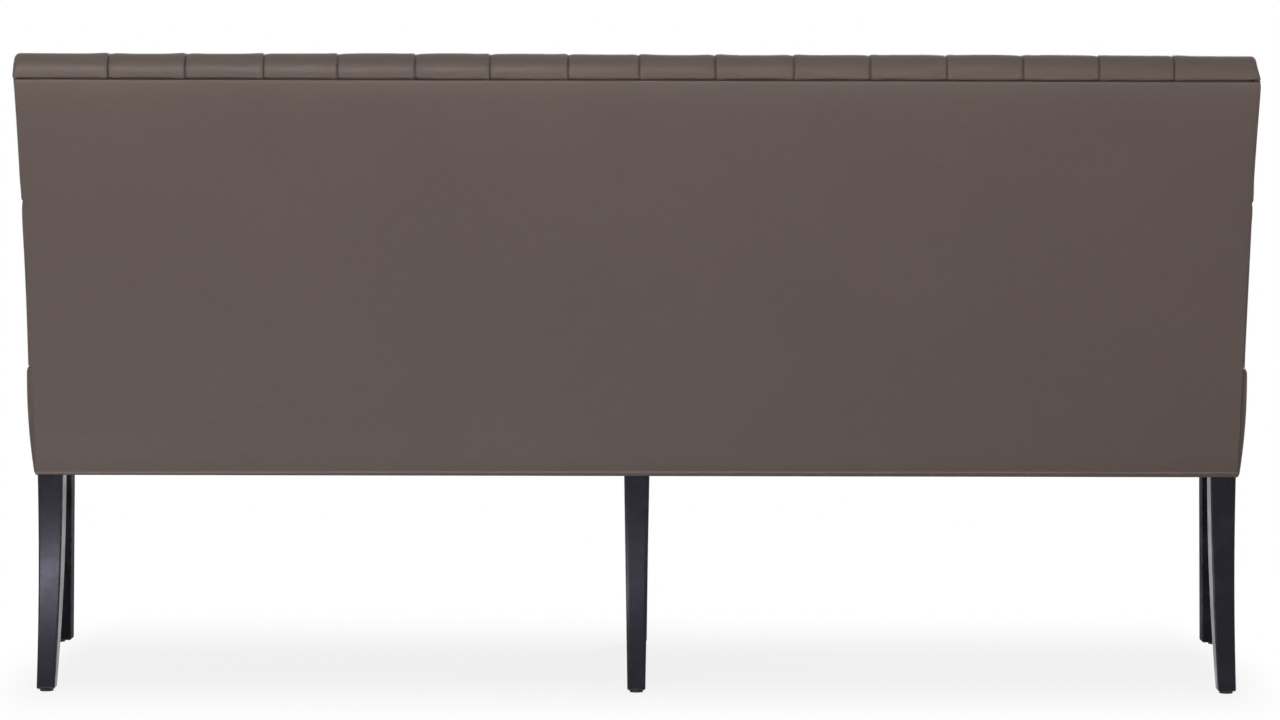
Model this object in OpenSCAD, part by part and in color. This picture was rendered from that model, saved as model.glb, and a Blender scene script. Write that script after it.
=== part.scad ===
// Upholstered banquette bench: six-legged wooden frame, plain seat, deep-buttoned back
// X runs along the bench, the sitter faces -Y, Z is up and the floor is at zero
// Lengths are in millimetres

/* [Frame] */
// Width over the outer faces of the rear legs
rear_w = 1792; // [1500:1:2100]
// How much farther out each front corner stands than the rear one
flare = 68; // [20:1:90]
// Depth from the front faces of the front legs to the rear faces of the rear legs
frame_d = 540; // [480:1:600]
// Height of the seat from the cover's bottom edge to the seat's upper edge
hem_h = 163; // [141:1:191]
// Height of the seat rails
rail_h = 85; // [70:1:95]
// Thickness of the front and rear seat rails
rail_t = 28; // [22:1:32]
// Thickness of the side seat rails
side_rail_t = 25; // [20:1:30]
// Thickness of the rails that cross under the seat
cross_rail_t = 25; // [20:1:30]
// Drop of the crossing rails below the seat rails' top edge
cross_drop = 25; // [15:1:35]
// Length of each side of a corner block
block_side = 80; // [60:1:100]
// Height of a corner block
block_h = 45; // [30:1:60]

/* [Legs] */
// Width of a rear leg at the seat
rear_leg_w = 38; // [34:1:44]
// Depth of a rear leg at the seat
rear_leg_d = 40; // [34:1:46]
// Width of a rear leg's foot
rear_foot_w = 27; // [24:1:34]
// Depth of a rear leg's foot
rear_foot_d = 27; // [22:1:34]
// Extra depth of a rear leg half way down
leg_belly = 9; // [0:1:14]
// Radius of the sweep that carries the rear feet backwards
foot_sweep_r = 883; // [700:1:1400]
// Width and depth of a front leg at the seat
front_leg_w = 40; // [34:1:46]
// Width and depth of a front leg's foot
front_foot_w = 36; // [28:1:40]
// Radius of the glide under each foot
glide_r = 10; // [7:0.5:11]
// Thickness of the glide
glide_t = 4; // [2:0.5:6]

/* [Back frame] */
// Radius of the back's rearward lean
lean_r = 1560; // [1400:1:2200]
// Height above the cover's bottom edge where the lean starts
lean_h = 12; // [-18:1:32]
// Thickness of the posts and rails of the back
post_d = 30; // [24:1:34]
// Height of the top rail
top_rail_h = 70; // [50:1:80]
// Height of the lower back rail
low_rail_h = 50; // [40:1:60]
// Height of the lower back rail's bottom edge above the seat's upper edge
low_rail_z = 19; // [9:1:49]
// Width of the uprights between the posts
upright_w = 45; // [35:1:55]

/* [Back upholstery] */
// Height of the back above the seat's upper edge
top_h = 464; // [419:1:509]
// Height of the roll above the seam on the rear side
roll_h = 36; // [30:1:42]
// Radius of the roll's front edge
roll_front_r = 40; // [34:1:46]
// Radius of the roll's rear edge
roll_rear_r = 24; // [22:0.5:27]
// Depth of the padding between the top rail and the top of the roll
roll_cap = 27; // [22:1:34]
// Thickness of the back's foam at the seat
foam_low_t = 46; // [30:1:60]
// Thickness of the back's foam at the top
foam_top_t = 12; // [8:1:20]
// Thickness of the quilted cover at the crown of a diamond
pad_crest = 24; // [18:1:30]
// Thickness of the quilted cover under a button
pad_button = 3; // [2:0.5:5]
// How far the cover stands outside the posts at the seat
side_pad = 14; // [10:1:20]
// How much farther the cover stands out at the top
side_flare = 6.5; // [0:0.5:10]
// Radius of the cover's front corners
side_round = 16; // [8:1:20]

/* [Buttons] */
// Spacing of the buttons along a row
button_pitch = 111.7; // [90:0.1:140]
// Distance from the top of the back down to the middle row
row_h = 222; // [205:1:245]
// Distance from the middle row to the rows above and below
row_gap = 85; // [70:1:92]
// Least distance from the last button to the outer post's face
end_margin = 50; // [40:1:70]
// Radius of a covered button
button_r = 11; // [9:0.5:13]
// Height of a button's dome
button_dome = 5; // [3:0.5:7]

/* [Seat upholstery] */
// Height of the seat's upper edge above the floor
seat_edge_h = 481; // [440:1:520]
// Extra height of the seat's crown
seat_crown = 17; // [8:1:24]
// How far the cover's bottom edge stands outside the frame
hem_out = 7.5; // [6.5:0.5:12]
// How far the cover's sides bulge past the bottom edge
side_bulge = 11; // [4:1:18]
// How far the cover's front bulges past the bottom edge
front_bulge = 18; // [8:1:26]
// Radius of the seat's upper edge
edge_r = 27; // [20:1:32]
// Radius of the seat's front corners in plan
corner_r = 20; // [12:1:21]
// Thickness of the cover with its wadding
cover_t = 5; // [3:0.5:5.5]

/* [Sheets and webbing] */
// Width of a webbing strap
web_w = 50; // [40:1:60]
// Thickness of a webbing strap
web_t = 2.5; // [1.5:0.5:3]
// Thickness of the canvas under the foam
canvas_t = 1; // [0.8:0.1:1.5]
// Thickness of the board behind the outside back
liner_t = 3; // [2:0.5:4]
// Thickness of the outside back
panel_t = 2.5; // [1.5:0.5:3]
// Distance from the outside back's edges to the cover's sides
panel_inset = 6; // [4:0.5:9]
// Width of the tacking strip at the top of the outside back
tack_strip_w = 15; // [10:1:20]
// Thickness of the dust cover
dust_t = 1; // [0.8:0.1:1.5]

/* [Hardware] */
// Radius of a dowel
dowel_r = 5; // [4:0.5:6]
// Length of a dowel
dowel_len = 50; // [40:1:56]
// Radius of a block screw's shank
screw_r = 2.5; // [2:0.25:3]
// Radius of a block screw's head
screw_head_r = 4.5; // [4:0.25:5]
// Length of a block screw's shank
screw_len = 42; // [36:1:46]

/* [Hidden] */
$fn = 48;

// Running clearances and the overrun of every cut
soft_gap = 0.3;
dowel_gap = 0.1;
over = 1;

// Heights above the floor: the cover's bottom edge, the start of the lean, the back's top and
// the middle row of buttons
hem_z = seat_edge_h - hem_h;
lean_z = hem_z + lean_h;
top_z = seat_edge_h + top_h;
row_z = top_z - row_h;

// Front and rear reach from the rear legs' faces put the bench in the middle of its frame
seam_h = top_z - roll_h;
panel_rho = lean_r - liner_t - panel_t;
seam_y = lean_r - sqrt(pow(panel_rho, 2) - pow(seam_h - lean_z, 2));
roll_rear_z = top_z - roll_rear_r;
roll_rear_y = seam_y - sqrt(pow(roll_rear_r, 2) - pow(roll_rear_z - seam_h, 2));
front_reach = frame_d + hem_out + front_bulge;
rear_reach = roll_rear_y + roll_rear_r;
rear_line_y = (front_reach - rear_reach) / 2;

// Plan of the frame, with y measured from the rear legs' rear faces
half_rear = rear_w / 2;
leg_x = half_rear - rear_leg_w / 2;
front_line_y = -frame_d;
function frame_half(y) = half_rear - flare * y / frame_d;
front_leg_x = frame_half(front_line_y + front_leg_w) - front_leg_w / 2;
function cover_half(y) = frame_half(y) + hem_out;

// Heights of the seat frame
rail_lift = 2;
rail_z = hem_z + rail_lift;
rail_top = rail_z + rail_h;
canvas_z = rail_top + web_t;
foam_z = canvas_z + canvas_t;
cross_x = leg_x / 2;

// Points of the back in the plane across the bench, around the centre of its lean
function lean_point(rho, a) = [lean_r - rho * cos(a), lean_z + rho * sin(a)];
function lean_angle(rho, z) = asin((z - lean_z) / rho);
function lean_y(z) = lean_r - sqrt(pow(lean_r, 2) - pow(z - lean_z, 2));
function blend(a, b, t) = a + (b - a) * t;
rail_top_a = lean_angle(lean_r, top_z - roll_cap);
rail_low_a = rail_top_a - top_rail_h / lean_r * 180 / PI;
low_rail_a = lean_angle(lean_r, seat_edge_h + low_rail_z);
low_rail_top_a = low_rail_a + low_rail_h / lean_r * 180 / PI;
post_rho = lean_r + post_d;
back_canvas_rho = post_rho + web_t;
back_foam_rho = back_canvas_rho + canvas_t;
pad_bottom_h = seat_edge_h + 2 * soft_gap;
pad_low_a = lean_angle(back_foam_rho + foam_low_t, pad_bottom_h);
function foam_t(a) = blend(foam_low_t, foam_top_t, (a - pad_low_a) / (rail_top_a - pad_low_a));
function foam_rho(a) = back_foam_rho + foam_t(a);
gap_a = soft_gap / lean_r * 180 / PI;
seam_a = lean_angle(panel_rho, seam_h);

module placed() { translate([0, rear_line_y, 0]) children(); }

// A slab of the back between two radii, two angles and two places along the bench
module lean_slab(rho1, rho2, a1, a2, x1, x2) {
    translate([0, lean_r, lean_z]) rotate([90, 0, -90]) rotate([0, 0, a1])
        rotate_extrude(angle = a2 - a1, $fn = 720)
            translate([rho1, -x2]) square([rho2 - rho1, x2 - x1]);
}

// A side outline with points [y, z], drawn from x1 to x2
module side_slab(points, x1, x2) {
    translate([x1, 0, 0]) rotate([90, 0, 90]) linear_extrude(x2 - x1) polygon(points);
}

// A front outline with points [x, z], drawn from y1 to y2
module front_slab(points, y1, y2) {
    translate([0, y2, 0]) rotate([90, 0, 0]) linear_extrude(y2 - y1) polygon(points);
}

// Dowels: places of the joints between rails and legs, each with two dowels
rail_mid_z = rail_z + rail_h / 2;
dowel_step = rail_h / 4;
pair_x = rear_leg_w / 4;
rear_rail_y = -rail_t / 2;
front_rail_y = front_line_y + rail_t / 2;
side_rear_y = -rear_leg_d;
side_front_y = front_line_y + front_leg_w;
cross_mid_z = rail_z + (rail_h - cross_drop) / 2;
cross_step = (rail_h - cross_drop) / 4;
low_back_mid = lean_point(lean_r + post_d / 2, (low_rail_a + low_rail_top_a) / 2);
front_inner_x = front_leg_x - front_leg_w / 2;
rear_inner_x = leg_x - rear_leg_w / 2;

module dowel(extra) {
    cylinder(h = dowel_len + 2 * extra, r = dowel_r + extra, center = true);
}
module dowel_along_x(x, y, z, extra) {
    translate([x, y, z]) rotate([0, 90, 0]) dowel(extra);
}
module dowel_along_y(x, y, z, extra) {
    translate([x, y, z]) rotate([90, 0, 0]) dowel(extra);
}
module dowel_along_lean(x, a, extra) {
    mid = lean_point(lean_r + post_d / 2, a);
    translate([x, mid[0], mid[1]]) rotate([-a, 0, 0]) dowel(extra);
}
module front_dowels(extra) {
    for (x = [-front_inner_x, -front_leg_w / 2, front_leg_w / 2, front_inner_x])
        for (s = [-1, 1])
            dowel_along_x(x, front_rail_y, rail_mid_z + s * dowel_step, extra);
}
module rear_dowels(extra) {
    for (x = [-rear_inner_x, -rear_leg_w / 2, rear_leg_w / 2, rear_inner_x])
        for (s = [-1, 1])
            dowel_along_x(x, rear_rail_y, rail_mid_z + s * dowel_step, extra);
}
module side_dowels(extra) {
    for (y = [side_rear_y, side_front_y])
        for (side = [-1, 1])
            for (s = [-1, 1])
                dowel_along_y(side * (frame_half(y) - side_rail_t / 2), y,
                    rail_mid_z + s * dowel_step * 1.5, extra);
}
module cross_dowels(extra) {
    for (s = [-1, 1]) {
        for (x = [-cross_x, cross_x]) {
            dowel_along_y(x, -rail_t, cross_mid_z + s * cross_step, extra);
            dowel_along_y(x, front_line_y + rail_t, cross_mid_z + s * cross_step, extra);
        }
        dowel_along_y(0, side_rear_y, cross_mid_z + s * cross_step, extra);
        dowel_along_y(0, side_front_y, cross_mid_z + s * cross_step, extra);
    }
}
module low_back_dowels(extra) {
    for (x = [-rear_inner_x, -rear_leg_w / 2, rear_leg_w / 2, rear_inner_x])
        dowel_along_x(x, low_back_mid[0], low_back_mid[1], extra);
}
module top_dowels(extra) {
    for (x = [-leg_x, 0, leg_x])
        for (s = [-1, 1])
            dowel_along_lean(x + s * pair_x, rail_low_a, extra);
}
module upright_dowels(extra) {
    for (x = [-cross_x, cross_x])
        for (a = [low_rail_top_a, rail_low_a])
            dowel_along_lean(x, a, extra);
}

// Rear legs: a swept foot that runs on upwards as a leaning post
leg_steps = 14;
post_start_h = rail_top + post_d;
function leg_depth(t) = blend(rear_foot_d, rear_leg_d, t) + leg_belly * sin(180 * t);
function foot_y(z) = foot_sweep_r - sqrt(pow(foot_sweep_r, 2) - pow(lean_z - z, 2));
leg_profile = concat(
    [for (i = [0:leg_steps]) let (z = blend(glide_t, lean_z, i / leg_steps)) [foot_y(z), z]],
    [[-post_d / 2, lean_z], lean_point(lean_r + post_d / 2, lean_angle(lean_r, post_start_h)),
        [lean_y(post_start_h) - post_d, post_start_h], [-rear_leg_d, rail_top]],
    [for (i = [leg_steps:-1:0])
        let (t = i / leg_steps, z = blend(glide_t, hem_z, t)) [foot_y(z) - leg_depth(t), z]]);
leg_outline = [[-rear_foot_w / 2, glide_t], [rear_foot_w / 2, glide_t], [rear_leg_w / 2, hem_z],
    [rear_leg_w / 2, top_z], [-rear_leg_w / 2, top_z], [-rear_leg_w / 2, hem_z]];
foot_centre_y = foot_y(glide_t) - rear_foot_d / 2;
front_foot_y = front_line_y + front_foot_w / 2;
front_foot_x = front_leg_x + (front_leg_w - front_foot_w) / 2;

module rear_leg(x) {
    color("#24242a") placed() difference() {
        intersection() {
            union() {
                side_slab(leg_profile, x - rear_leg_w / 2, x + rear_leg_w / 2);
                lean_slab(lean_r, post_rho, 0, rail_low_a, x - rear_leg_w / 2, x + rear_leg_w / 2);
            }
            translate([x, 0, 0])
                front_slab(leg_outline, -2 * rear_leg_d, foot_sweep_r);
        }
        rear_dowels(dowel_gap);
        low_back_dowels(dowel_gap);
        top_dowels(dowel_gap);
        if (x == 0) cross_dowels(dowel_gap);
        if (x != 0) side_dowels(dowel_gap);
        glide_pins(dowel_gap);
    }
}
module rear_leg_left() { rear_leg(leg_x); }
module rear_leg_centre() { rear_leg(0); }
module rear_leg_right() { rear_leg(-leg_x); }

// Front legs: square, a little slimmer at the foot, with the front and outer faces upright
module front_leg(side) {
    x = side * front_leg_x;
    outer = side == 0 ? front_foot_w / 2 : front_leg_w / 2;
    inner = outer - front_foot_w;
    turn = side == 0 ? 1 : side;
    color("#24242a") placed() difference() {
        intersection() {
            translate([x, 0, 0]) front_slab([[turn * inner, glide_t], [turn * outer, glide_t],
                [turn * front_leg_w / 2, hem_z], [turn * front_leg_w / 2, rail_top],
                [-turn * front_leg_w / 2, rail_top], [-turn * front_leg_w / 2, hem_z]],
                front_line_y - over, side_front_y + over);
            side_slab([[front_line_y, glide_t], [front_line_y + front_foot_w, glide_t],
                [side_front_y, hem_z], [side_front_y, rail_top], [front_line_y, rail_top]],
                x - front_leg_w, x + front_leg_w);
        }
        front_dowels(dowel_gap);
        if (side == 0) cross_dowels(dowel_gap);
        if (side != 0) side_dowels(dowel_gap);
        glide_pins(dowel_gap);
    }
}
module front_leg_left() { front_leg(1); }
module front_leg_centre() { front_leg(0); }
module front_leg_right() { front_leg(-1); }

// Glides: a disc with a pin up into the foot
pin_r = glide_r / 5;
pin_len = glide_t * 4;
glide_places = [for (s = [-1, 0, 1], rear = [true, false])
    rear ? [s * leg_x, foot_centre_y] : [s * front_foot_x, front_foot_y]];
module glide_pins(extra) {
    for (p = glide_places)
        translate([p[0], p[1], 0]) cylinder(h = glide_t + pin_len + extra, r = pin_r + extra);
}
module glides() {
    color("#c9c9c4") placed() union() {
        glide_pins(0);
        for (p = glide_places)
            translate([p[0], p[1], 0]) cylinder(h = glide_t, r = glide_r);
    }
}

// Seat rails
module seat_rail(x1, x2, y1, y2) {
    translate([x1, y1, rail_z]) cube([x2 - x1, y2 - y1, rail_h]);
}
module front_rail(side) {
    a = side * front_leg_w / 2;
    b = side * front_inner_x;
    color("#b98d5c") placed() difference() {
        seat_rail(min(a, b), max(a, b), front_line_y, front_line_y + rail_t);
        front_dowels(dowel_gap);
        cross_dowels(dowel_gap);
        block_screw_set(dowel_gap);
    }
}
module front_rail_left() { front_rail(1); }
module front_rail_right() { front_rail(-1); }
module rear_rail(side) {
    a = side * rear_leg_w / 2;
    b = side * rear_inner_x;
    color("#b98d5c") placed() difference() {
        seat_rail(min(a, b), max(a, b), -rail_t, 0);
        rear_dowels(dowel_gap);
        cross_dowels(dowel_gap);
        block_screw_set(dowel_gap);
    }
}
module rear_rail_left() { rear_rail(1); }
module rear_rail_right() { rear_rail(-1); }
module side_rail(side) {
    color("#b98d5c") placed() difference() {
        translate([0, 0, rail_z]) linear_extrude(rail_h) polygon([
            [side * frame_half(side_rear_y), side_rear_y],
            [side * frame_half(side_front_y), side_front_y],
            [side * (frame_half(side_front_y) - side_rail_t), side_front_y],
            [side * (frame_half(side_rear_y) - side_rail_t), side_rear_y]]);
        side_dowels(dowel_gap);
        block_screw_set(dowel_gap);
    }
}
module side_rail_left() { side_rail(1); }
module side_rail_right() { side_rail(-1); }
module cross_rail(x, y1, y2) {
    color("#b98d5c") placed() difference() {
        translate([x - cross_rail_t / 2, y1, rail_z])
            cube([cross_rail_t, y2 - y1, rail_h - cross_drop]);
        cross_dowels(dowel_gap);
        block_screw_set(dowel_gap);
    }
}
module cross_rail_left() { cross_rail(cross_x, front_line_y + rail_t, -rail_t); }
module cross_rail_centre() { cross_rail(0, side_front_y, side_rear_y); }
module cross_rail_right() { cross_rail(-cross_x, front_line_y + rail_t, -rail_t); }

// Corner blocks: triangles notched round the legs, one screw into each rail beside them
block_z = rail_z + (rail_h - cross_drop - block_h) / 2;
block_mid_z = block_z + block_h / 2;
screw_reach_share = 0.65;
screw_reach = screw_len * screw_reach_share;
head_t = screw_head_r / 2;
function side_inner_x(y) = frame_half(y) - side_rail_t;
front_block = [[front_inner_x - block_side, front_line_y + rail_t],
    [front_inner_x - soft_gap, front_line_y + rail_t],
    [front_inner_x - soft_gap, side_front_y + soft_gap],
    [side_inner_x(side_front_y + soft_gap), side_front_y + soft_gap],
    [side_inner_x(side_front_y + block_side), side_front_y + block_side]];
rear_block = [[rear_inner_x - block_side, -rail_t], [rear_inner_x - soft_gap, -rail_t],
    [rear_inner_x - soft_gap, side_rear_y - soft_gap],
    [side_inner_x(side_rear_y - soft_gap), side_rear_y - soft_gap],
    [side_inner_x(side_rear_y - block_side), side_rear_y - block_side]];
front_mid_block = [[front_leg_w / 2 + block_side, front_line_y + rail_t],
    [front_leg_w / 2 + soft_gap, front_line_y + rail_t],
    [front_leg_w / 2 + soft_gap, side_front_y + soft_gap],
    [cross_rail_t / 2, side_front_y + soft_gap],
    [cross_rail_t / 2, side_front_y + block_side]];
rear_mid_block = [[rear_leg_w / 2 + block_side, -rail_t], [rear_leg_w / 2 + soft_gap, -rail_t],
    [rear_leg_w / 2 + soft_gap, side_rear_y - soft_gap],
    [cross_rail_t / 2, side_rear_y - soft_gap],
    [cross_rail_t / 2, side_rear_y - block_side]];
// Each screw has its place on a rail's inner face and the direction that it leaves it in
screw_step_share = 0.4;
screw_step = block_side * screw_step_share;
screw_places = [
    [front_inner_x - screw_step, front_line_y + rail_t, 90],
    [side_inner_x(side_front_y + screw_step), side_front_y + screw_step, 180],
    [rear_inner_x - screw_step, -rail_t, -90],
    [side_inner_x(side_rear_y - screw_step), side_rear_y - screw_step, 180],
    [front_leg_w / 2 + screw_step, front_line_y + rail_t, 90],
    [rear_leg_w / 2 + screw_step, -rail_t, -90]];
centre_screw_places = [[cross_rail_t / 2, side_front_y + screw_step, 0],
    [cross_rail_t / 2, side_rear_y - screw_step, 0]];
screw_lift = block_h / 4;
module each_side() {
    children();
    mirror([1, 0, 0]) children();
}
module screw_row(places, z, extra, driver) {
    for (p = places) translate([p[0], p[1], z]) rotate([0, 0, p[2]]) rotate([0, 90, 0]) {
        translate([0, 0, screw_reach - screw_len])
            cylinder(h = screw_len + extra, r = screw_r + extra);
        translate([0, 0, screw_reach]) cylinder(h = head_t + driver, r = screw_head_r + extra);
    }
}
// The screws into the centre rail's two sides stand at two heights, so that they pass each other
module block_screw_set(extra, driver = 0) {
    each_side() screw_row(screw_places, block_mid_z, extra, driver);
    screw_row(centre_screw_places, block_mid_z + screw_lift, extra, driver);
    mirror([1, 0, 0]) screw_row(centre_screw_places, block_mid_z - screw_lift, extra, driver);
}
module corner_blocks() {
    color("#c79d6b") placed() difference() {
        each_side() for (points = [front_block, rear_block, front_mid_block, rear_mid_block])
            translate([0, 0, block_z]) linear_extrude(block_h) polygon(points);
        block_screw_set(dowel_gap, block_side);
    }
}
module block_screws() { color("#8f8f8c") placed() block_screw_set(0); }

module frame_dowels() {
    color("#d9c19a") placed() union() {
        front_dowels(0);
        rear_dowels(0);
        side_dowels(0);
        cross_dowels(0);
        low_back_dowels(0);
        top_dowels(0);
        upright_dowels(0);
    }
}

// Rails and uprights of the back
module top_rail() {
    color("#b98d5c") placed() difference() {
        lean_slab(lean_r, post_rho, rail_low_a, rail_top_a, -half_rear, half_rear);
        top_dowels(dowel_gap);
        upright_dowels(dowel_gap);
    }
}
module low_back_rail(side) {
    a = side * rear_leg_w / 2;
    b = side * rear_inner_x;
    color("#b98d5c") placed() difference() {
        lean_slab(lean_r, post_rho, low_rail_a, low_rail_top_a, min(a, b), max(a, b));
        low_back_dowels(dowel_gap);
        upright_dowels(dowel_gap);
    }
}
module low_back_rail_left() { low_back_rail(1); }
module low_back_rail_right() { low_back_rail(-1); }
module back_upright(side) {
    x = side * cross_x;
    color("#b98d5c") placed() difference() {
        lean_slab(lean_r, post_rho, low_rail_top_a, rail_low_a, x - upright_w / 2, x + upright_w / 2);
        upright_dowels(dowel_gap);
    }
}
module back_upright_left() { back_upright(1); }
module back_upright_right() { back_upright(-1); }

// Webbing: straps across the seat rails and up the front of the back frame
web_margin = web_w;
web_count = floor((2 * rear_inner_x - 2 * web_margin) / (2 * web_w));
web_step = (2 * rear_inner_x - 2 * web_margin) / web_count;
module seat_webbing() {
    color("#3a3a3c") placed()
        for (i = [0:web_count])
            translate([-rear_inner_x + web_margin + i * web_step - web_w / 2,
                front_line_y, rail_top])
                cube([web_w, frame_d - rear_leg_d, web_t]);
}
module back_webbing() {
    color("#3a3a3c") placed()
        for (i = [0:web_count])
            let (x = -rear_inner_x + web_margin + i * web_step)
                lean_slab(post_rho, back_canvas_rho, low_rail_a, rail_top_a,
                    x - web_w / 2, x + web_w / 2);
}

// Canvas over the webbing
module seat_canvas() {
    y1 = side_rear_y - soft_gap;
    y2 = front_line_y;
    color("#b7a27d") placed() translate([0, 0, canvas_z]) linear_extrude(canvas_t)
        polygon([[-frame_half(y1) + over, y1], [-frame_half(y2) + over, y2],
            [frame_half(y2) - over, y2], [frame_half(y1) - over, y1]]);
}
module back_canvas() {
    color("#b7a27d") placed()
        lean_slab(back_canvas_rho, back_foam_rho, low_rail_a, rail_top_a, -half_rear, half_rear);
}

// A closed skin over a row of rings with the same number of points in each
function skin_points(rings) = [for (ring = rings, p = ring) p];
function skin_faces(nr, ns, n_out, shift) = concat(
    [for (r = [0:nr - 2], s = [0:ns - 1])
        let (t = (s + 1) % ns, a = r * ns + s, b = r * ns + t, c = a + ns, d = b + ns)
            each ((r + s + shift) % 2 == 0 ? [[a, c, d], [a, d, b]] : [[a, c, b], [c, d, b]])],
    cap_faces(0, ns, n_out, false), cap_faces((nr - 1) * ns, ns, n_out, true));
// An end is closed by a strip between the outer points and the inner points that run back
function cap_faces(first, ns, n_out, flip) =
    let (n_in = ns - n_out, far = function (i) first + ns - 1 - min(i, n_in - 1))
        [for (i = [0:n_out - 2], half = [0, 1])
            let (a = first + i, face = half == 0 ? [a, a + 1, far(i)] : [far(i), a + 1, far(i + 1)])
                if (half == 0 && a + 1 != far(i) || half == 1 && i < n_in - 1
                    && a + 1 != far(i + 1))
                    flip ? [face[0], face[2], face[1]] : face];
module skin(rings, n_out, shift = 0) {
    polyhedron(points = skin_points(rings),
        faces = skin_faces(len(rings), len(rings[0]), n_out, shift), convexity = 6);
}

// Seat cover: stations of its section from the front hem over the top to the rear
widest_h = seat_edge_h - edge_r;
hem_y = front_line_y - hem_out;
widest_y = hem_y - front_bulge;
seat_rear_y = side_rear_y - 2 * soft_gap;
pad_front_y = lean_point(foam_rho(pad_low_a) + pad_crest, pad_low_a)[0];
crown_y = (widest_y + pad_front_y) / 2;
// Bulge of a side at a height, as a share of the greatest bulge
function bulge_share(z) = 1 - pow(max(0, (widest_h - z) / (widest_h - hem_z)), 2);
function edge_drop(inset) = edge_r - sqrt(pow(edge_r, 2) - pow(max(0, edge_r - inset), 2));
function corner_set(inset) = corner_r - sqrt(pow(corner_r, 2) - pow(max(0, corner_r - inset), 2));
wall_low_share = 0.4;
wall_low_h = hem_z + rail_h * wall_low_share;
wall_mid_h = foam_z;
top_place_shares = [0.55, 0, 0.6];
top_y = [blend(widest_y, crown_y, top_place_shares[0]), crown_y,
    blend(crown_y, pad_front_y, top_place_shares[2])];
top_shares = [0.75, 1, 0.7];
function seat_out(drop, set, crown, rear_y, inset) = concat(
    [for (z = [hem_z, wall_low_h, wall_mid_h, widest_h])
        [blend(hem_y, widest_y, bulge_share(z)) + set + inset, z]],
    [for (a = [45, 90])
        [widest_y + set + edge_r * (1 - cos(a)) + inset * cos(a),
            max(widest_h, widest_h + edge_r * sin(a) - drop) - inset * sin(a)]],
    [for (i = [0:2]) [top_y[i], seat_edge_h + seat_crown * crown * top_shares[i] - drop - inset]],
    [[pad_front_y, seat_edge_h - drop - inset], [rear_y, seat_edge_h - drop - inset]]);
// Inner side of the open part, which lies on the foam and in front of the rails
function seat_in(drop, crown, inset) =
    let (o = seat_out(drop, 0, crown, seat_rear_y, inset))
        [[seat_rear_y, o[10][1]], o[9], o[7], o[5], o[3], o[2], o[0]];
// Rear wall of a side, which follows the posts
wall_shares = [0.96, 0.88, 0.78, 0.66, 0.52, 0.24, 0];
function seat_wall(edge_z) = [for (share = wall_shares)
    let (z = blend(hem_z, edge_z, share)) [lean_y(z) - soft_gap, z]];
// One ring: points [y, z] with the side's place for each
function seat_ring(points, side, k) = [for (p = points)
    [side * (cover_half(p[0]) - cover_t + k * (cover_t + side_bulge * bulge_share(p[1]))),
        p[0], p[1]]];
function mid_ring(points, share) = [for (p = points)
    [share * (cover_half(p[0]) - cover_t - over), p[0], p[1]]];
ring_shares = [-0.97, -0.8, -0.6, -0.35, 0, 0.35, 0.6, 0.8, 0.97];
function side_inset(k) = (1 - k) * (cover_t + side_bulge);
function crown_share(u) = 1 - pow(u, 4);
side_shares = [0, 0.6, 1];
function seat_side_rings(side) = [for (i = [0:2]) let (k = side_shares[side > 0 ? i : 2 - i])
    let (drop = edge_drop(side_inset(k)), edge_z = seat_edge_h - drop)
        seat_ring(concat(seat_out(drop, corner_set(side_inset(k)), 0,
            lean_y(edge_z) - soft_gap, 0), seat_wall(edge_z)), side, k)];
function seat_open_ring(u, drop) = mid_ring(concat(
    seat_out(drop, 0, crown_share(u), seat_rear_y, 0), seat_in(drop, crown_share(u), cover_t)), u);
seat_open_drop = edge_drop(cover_t + side_bulge + over);
module seat_cover() {
    color("#5f534d") placed() skin(concat(seat_side_rings(-1), [seat_open_ring(-1, seat_open_drop)],
        [for (u = ring_shares) seat_open_ring(u, 0)],
        [seat_open_ring(1, seat_open_drop)], seat_side_rings(1)), 11);
}

// Seat foam: fills the cover down to the canvas
function foam_ring(u, drop) =
    let (o = seat_in(drop, crown_share(u), cover_t + soft_gap))
        mid_ring([[seat_rear_y, foam_z], o[5], o[4], o[3], o[2], o[1], o[0]], u);
foam_end_share = 0.999;
module seat_foam() {
    color("#e6dcb4") placed() skin(concat([foam_ring(-foam_end_share, seat_open_drop)],
        [for (u = ring_shares) foam_ring(u, 0)], [foam_ring(foam_end_share, seat_open_drop)]), 4);
}

// Inside back: rows of stations over the quilted front, the roll and down to the rear seam
half_count = floor((half_rear - button_pitch / 2 - end_margin) / button_pitch);
crest_drop = pad_crest - pad_button;
row_low_h = row_z - row_gap;
row_top_h = row_z + row_gap;
function row_a(z) = lean_angle(foam_rho(lean_angle(back_foam_rho, z)), z);
roll_start_share = 1.5;
roll_start_h = top_z - roll_front_r * roll_start_share;
station_a = [pad_low_a, row_a((pad_bottom_h + row_low_h) / 2), row_a(row_low_h),
    row_a(row_z - row_gap / 2), row_a(row_z), row_a(row_z + row_gap / 2), row_a(row_top_h),
    row_a(roll_start_h)];
roll_front_z = top_z - roll_front_r;
roll_front_a = lean_angle(foam_rho(rail_top_a) + pad_crest, roll_front_z);
roll_front_y = lean_point(foam_rho(roll_front_a) + pad_crest, roll_front_a)[0] + roll_front_r;
// Shares of the button's depth below the crown: on a button's column, between, half way
dip_shares = [[0.5, 0.25, 0.15], [0.55, 0.12, 0], [1, 0.35, 0.05], [0.2, 0.6, 0.2],
    [0, 0.35, 1], [0.2, 0.6, 0.2], [1, 0.35, 0.05], [0.5, 0.12, 0],
    [0.3, 0.06, 0], [0.25, 0.04, 0], [0.2, 0.03, 0], [0.18, 0.03, 0], [0.12, 0.03, 0]];
// The same for the two ends, where only the middle row has a pleat round the side
end_shares = [0.1, 0, 0, 0.1, 0.45, 0.1, 0, 0, 0, 0, 0, 0, 0];
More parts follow.
